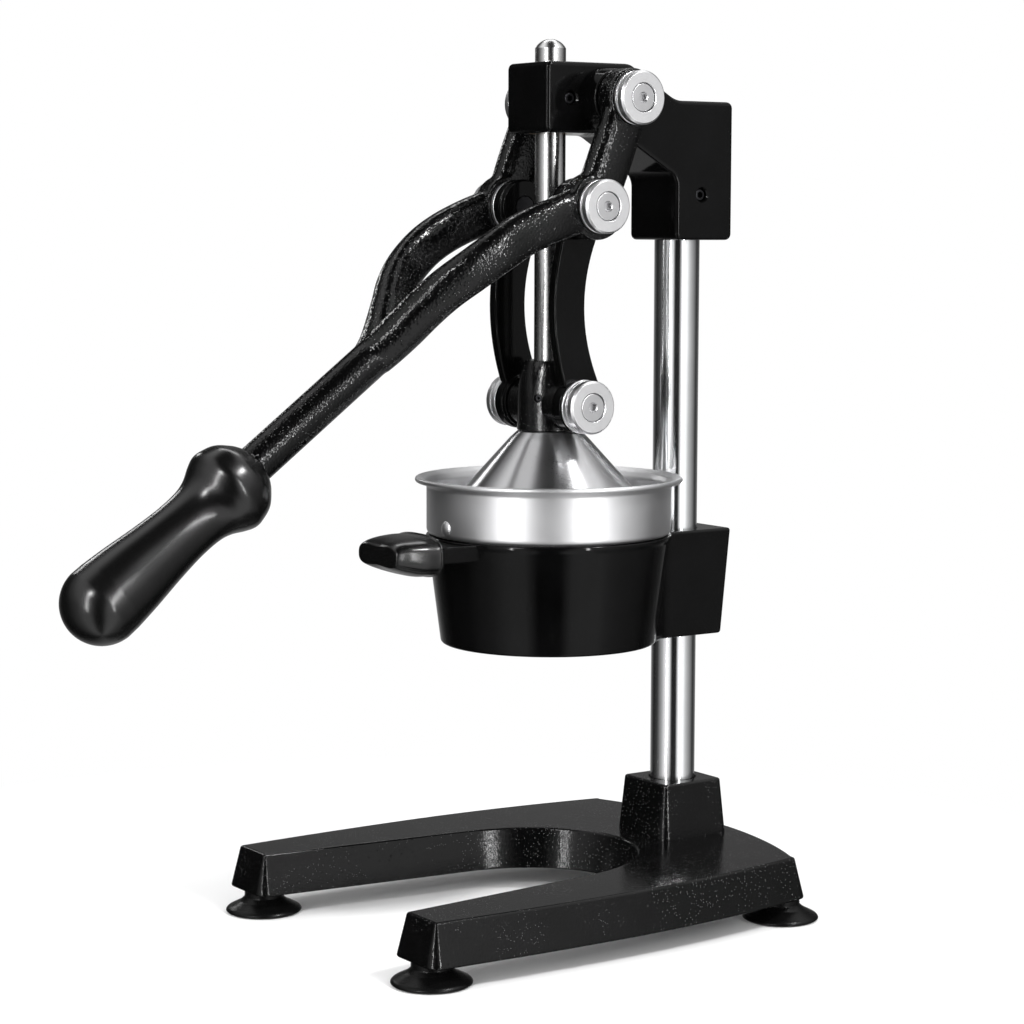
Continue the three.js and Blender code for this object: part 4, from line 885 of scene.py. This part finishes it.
def build_cap_screw(node, body, inner, stand_up):
    screw = solid(turned(profiled(CAP_SCREW_PROFILE)))
    less(
        screw,
        hexagon(CAP_SOCKET, CAP_SCREW_TOP - CAP_SOCKET_DEPTH, CAP_SCREW_TOP + OVERRUN),
        turned(CAP_SOCKET_RIM, MEDIUM),
    )
    screw.data.transform(stand_up)
    finished(screw, node, "cap_screw_steel", body, 30, inner)


def build_washer(node, body):
    middle, half = centre_of(node)
    ring = profiled(
        [
            (PIN_BORE, -half.x, 0), (WASHER_RADIUS, -half.x, WASHER_EDGE),
            (WASHER_RADIUS, half.x, WASHER_EDGE), (PIN_BORE, half.x, 0),
        ],
        3,
    )
    ring.append(ring[0])
    washer = solid(moved(turned(ring), at(*middle) @ ALONG_X))
    finished(washer, node, "brushed_aluminium", body, 30, middle)


def build_pivots():
    for pivot in ("upper", "middle", "lower"):
        body = "plunger" if pivot == "lower" else "lever"
        for side, sign in (("right", 1), ("left", -1)):
            cap = f"{pivot}_cap_{side}"
            middle, half = centre_of(cap)
            inner = Vector((middle.x - sign * half.x, middle.y, middle.z))
            stand_up = at(*inner) @ Matrix.Rotation(sign * math.pi / 2, 4, "Y")
            build_cap(cap, body, inner, stand_up)
            build_cap_screw(f"{pivot}_cap_screw_{side}", body, inner, stand_up)
            if pivot != "upper":
                build_washer(f"{pivot}_washer_{side}", body)


# Links. A curved web joins two eyes, whose rows are [radius, x, rounding].

LINK_OUTER, LINK_WEB_INNER, LINK_WEB_EDGE = 27.5, 22, 0.9
LINK_END = 10
LINK_FRONT_BOW, LINK_BACK_BOW = 1.1, -16.3
EYE_PROFILE = (
    (0, 19.3, 0), (12.5, 19.3, 0.4), (12.5, 22, 0.8), (13.2, 22, 0.5), (13.2, 27.5, 0.9),
    (0, 27.5, 0),
)


def bowed(end, middle, start, stop):
    """One side of a web: end out at both its ends, and middle out between them."""
    return [
        (end + (middle - end) * 4 * share * (1 - share), start + (stop - start) * share)
        for share in shares(24)
    ]


def build_links():
    low, high = LOWER.z + LINK_END, MIDDLE.z - LINK_END
    outline = [
        *bowed(LINK_END, LINK_FRONT_BOW, low, high),
        (MIDDLE.y, MIDDLE.z),
        *bowed(-LINK_END, LINK_BACK_BOW, high, low),
        (LOWER.y, LOWER.z),
    ]
    web = stack(outline, slab(LINK_WEB_INNER, LINK_OUTER, LINK_WEB_EDGE))
    eye = turned(profiled(EYE_PROFILE))
    places = [at(0, pivot.y, pivot.z) @ ALONG_X for pivot in (MIDDLE, LOWER)]
    shapes = [moved(web, SIDE_VIEW), *[moved(eye, place) for place in places]]
    cuts = [peg(PIN_BORE, 0, LINK_OUTER + OVERRUN, place) for place in places]
    for node in ("link_right", "link_left"):
        made = less(joined(*shapes), *cuts)
        finished(made, node, "satin_black", node)
        shapes = [flipped(s) for s in shapes]
        cuts = [flipped(s) for s in cuts]


# Hub, its set screw, and the cone. Rows are [radius, height over the hub's foot or over the
# cone's top, rounding].

HUB_HEIGHT, HUB_RADIUS = 33.5, 15.4
HUB_PROFILE = (
    (0, 0, 0), (15.4, 0, 0.8), (15.4, 15.075, 0), (15.169, 18.76, 0), (14.63, 22.78, 0),
    (13.552, 28.14, 0), (12.166, 32.495, 0), (11.2, 33.5, 0.8), (0, 33.5, 0),
)
EAR_RADIUS, EAR_HALF_SPAN, EAR_EDGE = 11.7, 19, 0.9
HUB_SCREW_TURN, HUB_SCREW_RISE = 0.61 - math.pi / 2, 3.4
HUB_SCREW_HOLE, HUB_SCREW_HOLE_START = 2, 8
HUB_SCREW_RADIUS, HUB_SCREW_END, HUB_SCREW_SOCKET = 1.7, 14.5, 1.5
CONE_PROFILE = (
    (51.5, -39.4, 0), (19, -3.5, 0.8), (18.4, -2.9, 0.5), (15.2, 0, 0.9), (ROD_BORE, 0, 0),
)
CONE_WALL = 2.6


def build_hub():
    low = LOWER.z - HUB_DROP
    to_pivot = at(0, 0, LOWER.z) @ ALONG_X
    ears = disc(EAR_RADIUS, -EAR_HALF_SPAN, EAR_HALF_SPAN, EAR_EDGE)
    made = joined(turned(profiled(raised(HUB_PROFILE, low))), moved(ears, to_pivot))
    through = EAR_HALF_SPAN + OVERRUN
    lift = at(0, 0, LOWER.z + HUB_SCREW_RISE)
    screw_at = lift @ Matrix.Rotation(HUB_SCREW_TURN, 4, "Z") @ ALONG_X
    less(
        made,
        peg(PIN_BORE, -through, through, to_pivot),
        disc(ROD_BORE, low - OVERRUN, low + HUB_HEIGHT + OVERRUN),
        peg(HUB_SCREW_HOLE, HUB_SCREW_HOLE_START, HUB_RADIUS + OVERRUN, screw_at, COARSE),
    )
    finished(made, "press_hub", "hub_hammertone", "plunger")

    screw = solid(disc(HUB_SCREW_RADIUS, ROD_BORE, HUB_SCREW_END, 0.3, COARSE))
    socket_low = HUB_SCREW_END - SCREW_SOCKET_DEPTH
    less(screw, hexagon(HUB_SCREW_SOCKET, socket_low, HUB_SCREW_END + 1))
    screw.data.transform(screw_at)
    finished(screw, "hub_set_screw", "black_oxide", "plunger")


def build_cone():
    line = profiled(raised(CONE_PROFILE, CONE_TOP), 4)
    cone = solid(turned(sheet(line, CONE_WALL), 160))
    finished(cone, "press_cone", "spun_cone", "plunger", 32)


# Lever. Its two arms part at the fork and end in a crank each. Path rows are shares of the way
# from the middle pivot to the fork: [out, forward, down]. Width and depth rows are
# [share of the way, share of the bar's size].

LEVER_INNER, LEVER_OUTER = 30.5, 41.4
ARM_MIDDLE = (LEVER_INNER + LEVER_OUTER) / 2
LEVER_DROP = 0.6435
LEVER_WIDTH, LEVER_DEPTH = 13.2, 22.4
LEVER_SQUARENESS = 2.5
FORK_FORWARD, FORK_DOWN = 97, 68.6
UPPER_EYE, MIDDLE_EYE, EYE_EDGE = 14, 15.5, 1.2
EYE_CLEARANCE = 15.5
CAP_SEAT = 13.4
SHAFT_LENGTH = 79
SHAFT_PROFILE = (
    (0, -9.1, 0), (9.1, -9.1, 6), (9.1, SHAFT_LENGTH, 0.8), (7.6, SHAFT_LENGTH, 0),
    (7.6, 163, 0.5), (0, 163, 0),
)
CASTING_GRAIN, CASTING_PASSES = 0.75, 7
FORK_PATH_SHARES = (
    (1, 0, 0), (1.01, 0.1, 0.035), (1.01, 0.219, 0.089), (0.96, 0.386, 0.185),
    (0.93, 0.501, 0.281), (0.8, 0.635, 0.422), (0.6, 0.737, 0.552), (0.4, 0.81, 0.68),
    (0.22, 0.885, 0.82), (0.08, 0.95, 0.93), (0, 1, 1),
)
FORK_WIDTH_SHARES = (
    (0, 0.81), (0.12, 1), (0.45, 1.02), (0.7, 1.16), (0.85, 1.3), (1, 1.38),
)
FORK_DEPTH_SHARES = ((0, 1), (0.12, 0.93), (0.5, 0.91), (0.8, 0.87), (1, 0.8125))
CRANK_WIDTH_SHARES = ((0, 0.81), (0.3, 1), (0.7, 1), (1, 0.81))


def centripetal(points, steps):
    """Points along a centripetal Catmull-Rom curve, and the length up to each."""
    p = [Vector(q) for q in points]
    p = [2 * p[0] - p[1], *p, 2 * p[-1] - p[-2]]
    fine = []
    for i in range(1, len(p) - 2):
        a, b, c, d = p[i - 1 : i + 3]
        t0 = 0.0
        t1 = t0 + (b - a).length ** 0.5
        t2 = t1 + (c - b).length ** 0.5
        t3 = t2 + (d - c).length ** 0.5
        for k in range(steps):
            t = t1 + (t2 - t1) * k / steps
            a1 = a * ((t1 - t) / (t1 - t0)) + b * ((t - t0) / (t1 - t0))
            a2 = b * ((t2 - t) / (t2 - t1)) + c * ((t - t1) / (t2 - t1))
            a3 = c * ((t3 - t) / (t3 - t2)) + d * ((t - t2) / (t3 - t2))
            b1 = a1 * ((t2 - t) / (t2 - t0)) + a2 * ((t - t0) / (t2 - t0))
            b2 = a2 * ((t3 - t) / (t3 - t1)) + a3 * ((t - t1) / (t3 - t1))
            fine.append(b1 * ((t2 - t) / (t2 - t1)) + b2 * ((t - t1) / (t2 - t1)))
    fine.append(p[-2])
    lengths = [0.0]
    for a, b in zip(fine, fine[1:]):
        lengths.append(lengths[-1] + (b - a).length)
    return fine, lengths


def along(fine, lengths, share):
    """The place and travel at a share of a curve's length."""
    want = share * lengths[-1]
    i = max(0, min(len(fine) - 2, sum(1 for s in lengths if s <= want) - 1))
    step = lengths[i + 1] - lengths[i]
    t = (want - lengths[i]) / step if step else 0
    low, high = max(0, i - 2), min(len(fine) - 1, i + 3)
    return fine[i].lerp(fine[i + 1], t), (fine[high] - fine[low]).normalized()


def crank():
    top = Vector((ARM_MIDDLE, UPPER.y, UPPER.z))
    bottom = Vector((ARM_MIDDLE, MIDDLE.y, MIDDLE.z))
    travel = (bottom - top).normalized()
    sections = []
    for share in shares(24):
        half_width = LEVER_WIDTH * eased(CRANK_WIDTH_SHARES, share) / 2
        spot = top.lerp(bottom, share)
        spot.x = LEVER_INNER + half_width
        sections.append((spot, travel, half_width, LEVER_DEPTH / 2, 0))
    return sweep(sections, MEDIUM, LEVER_SQUARENESS)


def fork_arm():
    route = [
        (ARM_MIDDLE * out, MIDDLE.y - FORK_FORWARD * forward, MIDDLE.z - FORK_DOWN * down)
        for out, forward, down in FORK_PATH_SHARES
    ]
    fine, lengths = centripetal(route, 24)
    sections = []
    for share in shares(60):
        spot, heading = along(fine, lengths, share)
        half_width = LEVER_WIDTH * eased(FORK_WIDTH_SHARES, share) / 2
        half_depth = LEVER_DEPTH * eased(FORK_DEPTH_SHARES, share) / 2
        sections.append((spot, heading, half_width, half_depth, 0))
    return sweep(sections, MEDIUM, LEVER_SQUARENESS)


def build_lever():
    places = [at(0, spot.y, spot.z) @ ALONG_X for spot in (UPPER, MIDDLE)]
    right = [crank(), fork_arm()]
    for place, radius in zip(places, (UPPER_EYE, MIDDLE_EYE)):
        right.append(moved(disc(radius, LEVER_INNER, LEVER_OUTER, EYE_EDGE), place))
    fork_end = Vector((0, MIDDLE.y - FORK_FORWARD, MIDDLE.z - FORK_DOWN))
    lay = at(*fork_end) @ Matrix.Rotation(math.pi / 2 + LEVER_DROP, 4, "X")
    shaft = moved(turned(profiled(SHAFT_PROFILE, 6), 64), lay)
    made = joined(shaft, *right, *[flipped(half) for half in right])
    made = cast_over(made, CASTING_GRAIN, CASTING_PASSES)
    across = LEVER_OUTER + LEVER_WIDTH
    cuts = []
    for place in places:
        cuts += [
            peg(PIN_BORE, -across, across, place),
            peg(CAP_SEAT, LEVER_OUTER, across, place, ROUND),
            peg(CAP_SEAT, -across, -LEVER_OUTER, place, ROUND),
            peg(EYE_CLEARANCE, -LEVER_INNER, LEVER_INNER, place, ROUND),
        ]
    less(made, *cuts)
    finished(made, "lever_casting", "black_hammertone", "lever", 50)
    build_lever_grip(fork_end)


# Lever grip. Its rows are [share of the length, share of the bulb's radius].

GRIP_LENGTH, GRIP_RADIUS = 110.8, 18.5
GRIP_BORE, GRIP_BORE_DEPTH, GRIP_MOUTH = 7.9, 84, 10.3
GRIP_SHARES = (
    (-0.0035, 0.61), (0.018, 0.77), (0.065, 1.01), (0.12, 1.115), (0.155, 1.125),
    (0.195, 1.03), (0.25, 0.86), (0.31, 0.775), (0.41, 0.765), (0.54, 0.83),
    (0.68, 0.93), (0.79, 0.99),
)


def grip_neck(steps):
    points = [Vector((GRIP_RADIUS * out, GRIP_LENGTH * up)) for up, out in GRIP_SHARES]
    p = [points[0], *points, points[-1]]
    neck = []
    for a, b, c, d in zip(p, p[1:], p[2:], p[3:]):
        for share in shares(steps)[:-1]:
            neck.append(hermite(b, c, (c - a) / 2, (d - b) / 2, share))
    return [[q.x, q.y] for q in [*neck, points[-1]]]


def build_lever_grip(fork_end):
    heading = Vector((0, -math.cos(LEVER_DROP), -math.sin(LEVER_DROP)))
    start = fork_end + heading * (SHAFT_LENGTH + GAP - GRIP_LENGTH * GRIP_SHARES[0][0])
    profile = grip_neck(8)
    for share in shares(20)[1:]:
        out, up = math.cos(math.pi / 2 * share), math.sin(math.pi / 2 * share)
        profile.append([GRIP_RADIUS * out, GRIP_LENGTH - GRIP_RADIUS + GRIP_RADIUS * up])
    profile[-1][0] = 0
    mouth = profile[0][1]
    deep = mouth + GRIP_BORE_DEPTH
    inside = [[0, deep], [GRIP_BORE, deep], [GRIP_BORE, mouth], [GRIP_MOUTH, mouth]]
    lay = at(*start) @ Matrix.Rotation(math.pi / 2 + LEVER_DROP, 4, "X")
    made = solid(moved(turned(inside + profile), lay))
    finished(made, "lever_grip", "black_phenolic", "lever", 50)


# Funnel and spout. A dimple pressed out of the wall's front keeps the funnel from turning.
# Wall and spout rows are [radius, height over the seat or the drain, rounding].

FUNNEL_WALL = (
    (62.96, 26.02, 0), (60.2, 24.72, 2), (58.7, 22.62, 2), (58.7, 0, 2.6), (53.4, 0, 1),
    (14, -23, 0),
)
LIP_RADIUS, LIP_RISE, LIP_BEAD = 62.96, 26.02, 1.28
FLOOR_RADIUS, FLOOR_FALL, DRAIN_RADIUS = 53.4, 23, 14
DIMPLE_PROFILE = ((0, -1.2), (3.9, -1.2), (3.9, 0), (3.2, 0.8), (1.8, 1.3), (0, 1.5))
DIMPLE_OUT, DIMPLE_RISE = 58.5, 5.2
SPOUT_RADIUS, SPOUT_LENGTH, SPOUT_LAP = 12.4, 21, 4


def build_funnel():
    body = turned(sheet(profiled(raised(FUNNEL_WALL, FUNNEL_SEAT), 6), -SHEET), 192)
    lip = FUNNEL_SEAT + LIP_RISE
    bead = []
    for share in shares(16)[:-1]:
        out, up = math.cos(2 * math.pi * share), math.sin(2 * math.pi * share)
        bead.append([LIP_RADIUS + LIP_BEAD * out, lip + LIP_BEAD * up])
    bead.append(bead[0])
    front = at(0, -DIMPLE_OUT, FUNNEL_SEAT + DIMPLE_RISE)
    forward = Matrix.Rotation(math.pi / 2, 4, "X")
    dimple = moved(turned(DIMPLE_PROFILE, MEDIUM), front @ forward)
    finished(joined(body, turned(bead, 192), dimple), "funnel", "stainless_sheet", "stand", 32)


def build_spout():
    """The spout, which laps the funnel's sloping floor from below."""
    drain = FUNNEL_SEAT - FLOOR_FALL
    slope = math.atan2(FLOOR_FALL, FLOOR_RADIUS - DRAIN_RADIUS)
    collar = drain - GAP / math.cos(slope)
    line = [
        (DRAIN_RADIUS + SPOUT_LAP * math.cos(slope), collar + SPOUT_LAP * math.sin(slope), 0),
        (DRAIN_RADIUS, collar, 0.8),
        (SPOUT_RADIUS, collar - 2.4, 1.5),
        (SPOUT_RADIUS, drain - SPOUT_LENGTH, 0),
    ]
    spout = solid(turned(sheet(profiled(line, 4), SHEET)))
    finished(spout, "funnel_spout", "stainless_sheet", "stand", 32)


# Cup ring, its block round the column, and its tang. Wall and hollow rows are [radius, height
# from the ring's top, rounding].

CUP_HEIGHT = 52.3
CUP_WALL = (
    (0, -52.3, 0), (51.8, -52.3, 1.6), (58.2, -3.2, 1.2), (59, -1.6, 0.5), (59, 0, 0.7),
    (0, 0, 0),
)
CUP_HOLLOW = (
    (0, -54.3, 0), (47.8, -54.3, 0), (47.8, -52.3, 0), (54.2, 0, 0), (54.2, 2, 0), (0, 2, 0),
)
BLOCK_DROP = 1.8
BLOCK_HALF_WIDTH, BLOCK_CORNER, BLOCK_EDGE = 17, 2.5, 1.5
BLOCK_BACK_WALL, BLOCK_LEAN = 11.6, 5.7
FLARE, FLARE_HALF_WIDTH = 15, 32
CUP_SCREW_DROP = 26
TANG_HALF_WIDTH, TANG_TOP, TANG_MID, TANG_LOW, TANG_EDGE = 21, -0.4, -4.25, -8.1, 0.9
TANG_START, TANG_END = -47.8, -73.3
TONGUE_HALF_WIDTH, TONGUE_HALF_HEIGHT = 5, 2.8
TONGUE_LAP, TONGUE_LENGTH = 1.5, 15


def cup_block(low, top, back):
    """The block, whose foot leans forward and whose front flares into the ring."""
    start = COLUMN_Y - COLUMN_RADIUS - FLARE
    half = [
        (BLOCK_HALF_WIDTH, back, BLOCK_CORNER),
        (BLOCK_HALF_WIDTH, start + FLARE / 2, FLARE),
        (FLARE_HALF_WIDTH, start - FLARE, 0),
    ]
    outline = rounded([half[0], *[(-x, y, bend) for x, y, bend in half], *half[:0:-1]], 8)
    points, faces = stack(outline, slab(low - BLOCK_DROP, top - BLOCK_DROP, BLOCK_EDGE))
    leaning = []
    for x, y, z in points:
        down = (top - BLOCK_DROP - z) / CUP_HEIGHT
        backward = max(0, y - start) / (back - start)
        leaning.append((x, y - BLOCK_LEAN * down * backward, z))
    return leaning, faces


def bar_forward(half_width, start, end, levels):
    """A flat bar along Y, from start forward to end."""
    corners = [(half_width, start), (-half_width, start), (-half_width, end), (half_width, end)]
    return stack(corners, levels)


def build_cup():
    top = FUNNEL_SEAT - GAP
    low = top - CUP_HEIGHT
    back = COLUMN_Y + COLUMN_BORE + BLOCK_BACK_WALL
    tang_mid = top + TANG_MID
    levels = slab(top + TANG_LOW, top + TANG_TOP, TANG_EDGE)
    plate = bar_forward(TANG_HALF_WIDTH, TANG_START, TANG_END, levels)
    levels = slab(tang_mid - TONGUE_HALF_HEIGHT, tang_mid + TONGUE_HALF_HEIGHT, 0.3)
    reach = TANG_END - TONGUE_LENGTH
    tongue = bar_forward(TONGUE_HALF_WIDTH, TANG_END + TONGUE_LAP, reach, levels)
    ring = turned(profiled(raised(CUP_WALL, top)), 160)
    made = joined(ring, cup_block(low, top, back), plate, tongue)
    screw_at = at(0, COLUMN_Y, top - CUP_SCREW_DROP) @ ALONG_Y
    less(
        made,
        turned(profiled(raised(CUP_HOLLOW, top)), 160),
        peg(COLUMN_BORE, low - 2 * OVERRUN, top + OVERRUN, at(0, COLUMN_Y, 0), ROUND),
        peg(SET_SCREW_HOLE, 0, back - COLUMN_Y + OVERRUN, screw_at),
    )
    finished(made, "cup_casting", "satin_black", "stand", 32)
    build_cup_grip(tang_mid)


# Cup grip. Its rows are [share of the length, width, height, sink, valley]: the shares of its
# full width, height and sink, and how far its top and bottom dip towards the middle.

CUP_GRIP_LENGTH = 22.9
CUP_GRIP_HALF_WIDTH, CUP_GRIP_HALF_HEIGHT = 21.5, 10
CUP_GRIP_SINK = 1.1
CUP_GRIP_SQUARENESS = 2.9
CUP_GRIP_SHARES = (
    (0, 0.99, 0.99, 0.95, 0), (0.012, 1, 1, 0.95, 0), (0.045, 1, 1, 0.95, 0),
    (0.06, 0.985, 0.965, 1, 0), (0.35, 0.963, 0.945, 0.85, 0), (0.65, 0.902, 0.84, 0.35, 0.04),
    (0.85, 0.837, 0.73, 0.08, 0.13), (0.95, 0.805, 0.63, 0.08, 0.2),
    (0.985, 0.785, 0.57, 0.17, 0.24), (1, 0.755, 0.53, 0.26, 0.25),
)


def build_cup_grip(tang_mid):
    root = TANG_END - GAP
    heading = Vector((0, -1, 0))
    sections = []
    for share in shares(100):
        width, height, sink, valley = (
            eased(CUP_GRIP_SHARES, share, column) for column in (1, 2, 3, 4)
        )
        sunk = tang_mid - CUP_GRIP_SINK * sink
        centre = Vector((0, root - CUP_GRIP_LENGTH * share, sunk))
        half_width, half_height = CUP_GRIP_HALF_WIDTH * width, CUP_GRIP_HALF_HEIGHT * height
        sections.append((centre, heading, half_width, half_height, max(0, valley)))
    body = solid(sweep(sections, ROUND, CUP_GRIP_SQUARENESS))
    half_height = TONGUE_HALF_HEIGHT + GAP
    pocket = bar_forward(
        TONGUE_HALF_WIDTH + GAP, root + TONGUE_LAP, root - TONGUE_LENGTH,
        [(tang_mid - half_height, 0), (tang_mid + half_height, 0)],
    )
    less(body, pocket)
    finished(body, "cup_grip", "black_phenolic", "stand", 50)


# Floor, world and lamps. The studio turns with the camera: two tall soft panels stand to the
# camera's left and right, with a dark gap between them, and a white sheet lies behind. Rows
# of a ramp are [turn from the camera's side in degrees, brightness]. Sizes are in metres.

TO_CAMERA = Vector((math.sin(CAMERA_TURN), -math.cos(CAMERA_TURN), 0))
TO_RIGHT = Vector((math.cos(CAMERA_TURN), math.sin(CAMERA_TURN), 0))
PANEL_LEVEL = 1.2
OVERHEAD_PULL = 1.1
PANEL_RAMP = (
    (-180, 0), (-125, 0.004), (-90, 0.04), (-62, 0.36), (-45, 0.8), (-36, 0.92),
    (-24, 0.9), (-15, 0.25), (-11, 0.01), (12, 0.01), (17, 0.4), (23, 0.9), (32, 1),
    (52, 0.96), (62, 0.6), (72, 0.42), (84, 0.3), (100, 0.16), (116, 0.03), (180, 0),
)
SHEET_BELOW, SHEET_ABOVE = 0.5, 0.22
SHEET_RAMP = (
    (-180, 1), (-160, 0.6), (-140, 0.16), (-120, 0), (120, 0), (140, 0.16), (160, 0.6),
    (180, 1),
)
AMBIENT_LEVEL = 0.95
FLOOR_REACH = 4.0
SHADOW_REACH, WHITE_REACH = 0.14, 0.42
LAMP_DISTANCE = 1.8
LAMP_AIM = Vector((0, 0, 0.2))
LAMPS = (
    ("left_strip", -34, 8, (0.06, 1.3), 50),
    ("right_strip", 38, 8, (0.07, 1.3), 50),
    ("left_high", -29, 30, (0.25, 0.25), 40),
    ("front_high", 64, 50, (0.22, 0.2), 110),
    ("back_left", -146, 22, (0.3, 0.16), 8),
    ("back_high", 180, 52, (0.9, 0.3), 4),
)


def ramp_by_turn(tree, turn, rows):
    source = tree.spread(turn, -math.pi, math.pi, 0, 1)
    ramp = tree.node("ShaderNodeValToRGB", {"Fac": source})
    stops = ramp.color_ramp.elements
    while len(stops) < len(rows):
        stops.new(0.5)
    for stop, (angle, level) in zip(stops, rows):
        stop.position = (angle + 180) / 360
        stop.color = (level, level, level, 1)
    return ramp.outputs["Color"]


def background(tree, colour, strength):
    inputs = {"Color": colour, "Strength": strength}
    return tree.node("ShaderNodeBackground", inputs).outputs["Background"]


def rays_of(tree):
    """Which rays come from the camera or through glass, and which come off a gloss."""
    rays = tree.node("ShaderNodeLightPath").outputs
    direct = tree.maths("MAXIMUM", rays["Is Camera Ray"], rays["Is Transmission Ray"])
    return direct, rays["Is Glossy Ray"]


def studio_light(s):
    """What a gloss mirrors: the two panels, and the sheet behind them."""
    way = s.node("ShaderNodeTexCoord").outputs["Generated"]
    height, ahead, right = [
        s.vector_maths("DOT_PRODUCT", way, axis) for axis in (UP, TO_CAMERA, TO_RIGHT)
    ]
    overhead = s.maths("MULTIPLY", s.maths("MAXIMUM", height, 0), OVERHEAD_PULL)
    turn = s.maths("ARCTAN2", right, s.maths("ADD", ahead, overhead))
    panels = background(s, ramp_by_turn(s, turn, PANEL_RAMP), PANEL_LEVEL)
    level = s.spread(height, -0.05, 0.02, SHEET_BELOW, SHEET_ABOVE)
    behind = background(s, ramp_by_turn(s, turn, SHEET_RAMP), level)
    return s.node("ShaderNodeAddShader", {0: panels, 1: behind}).outputs["Shader"]


def build_world():
    """An even light on the object, a studio for its gloss, and white for the camera."""
    world = bpy.data.worlds.new("world")
    bpy.context.scene.world = world
    s = Tree(world)
    direct, glossy = rays_of(s)
    lit = s.mixed(glossy, background(s, WHITE, AMBIENT_LEVEL), studio_light(s))
    seen = s.mixed(direct, lit, background(s, WHITE, 1))
    s.join(seen, s.nodes["World Output"].inputs["Surface"])


def build_stage():
    """A pale floor that keeps the shadow and fades to white away from the press."""
    mesh = bpy.data.meshes.new("floor")
    reach = FLOOR_REACH
    corners = [(-reach, -reach, 0), (reach, -reach, 0), (reach, reach, 0), (-reach, reach, 0)]
    mesh.from_pydata(corners, [], [(0, 1, 2, 3)])
    floor = bpy.data.objects.new("floor", mesh)
    bpy.context.scene.collection.objects.link(floor)
    s = Shader("floor")
    s.set(Roughness=0.8, Base_Color=(0.88, 0.88, 0.88, 1), Specular_IOR_Level=0.1)
    glow = {"Color": WHITE, "Strength": 1}
    white = s.node("ShaderNodeEmission", glow).outputs["Emission"]
    far = s.spread(s.vector_maths("LENGTH", s.place), SHADOW_REACH, WHITE_REACH, 0, 1)
    direct, glossy = rays_of(s)
    faded = s.mixed(s.maths("MULTIPLY", far, direct), s.surface.outputs["BSDF"], white)
    clear = s.node("ShaderNodeBsdfTransparent").outputs["BSDF"]
    s.join(s.mixed(glossy, faded, clear), s.nodes["Material Output"].inputs["Surface"])
    mesh.materials.append(s.material)


def lamp(name, turn, rise, size, radiance):
    """A square-cornered lamp, placed by its turn from the camera's side and its rise."""
    turn, rise = math.radians(turn), math.radians(rise)
    level = TO_CAMERA * math.cos(turn) + TO_RIGHT * math.sin(turn)
    way = level * math.cos(rise) + UP * math.sin(rise)
    data = bpy.data.lights.new(name, "AREA")
    data.shape = "RECTANGLE"
    data.size, data.size_y = size
    data.energy = radiance * math.pi * size[0] * size[1]
    made = bpy.data.objects.new(name, data)
    made.location = way * LAMP_DISTANCE + LAMP_AIM
    made.rotation_euler = (-way).to_track_quat("-Z", "Y").to_euler()
    bpy.context.scene.collection.objects.link(made)


# Build

build_base()
build_feet()
build_column()
build_rod()
build_head()
set_screw("column_set_screw", ALONG_X)
set_screw("bush_set_screw", ALONG_X)
set_screw("cup_set_screw", ALONG_Y)
build_pivots()
build_links()
build_hub()
build_cone()
build_lever()
build_funnel()
build_spout()
build_cup()
build_stage()
build_world()
for row in LAMPS:
    lamp(*row)

# CAD nodes that stay take the material of their slot, except the middle pins, which take the
# dark black oxide look so that their inner ends render dark in the links' eyes.
slot_of = {row["node"]: row["material_slot"] for row in frame["record"]["subparts"]}
for name, node in frame["nodes"].items():
    if node.hide_render:
        continue
    look = "black_oxide" if name.startswith("middle_pin") else slot_of[name]
    node.data.materials.clear()
    node.data.materials.append(LOOKS[look])

bpy.context.scene.view_settings.view_transform = "Standard"
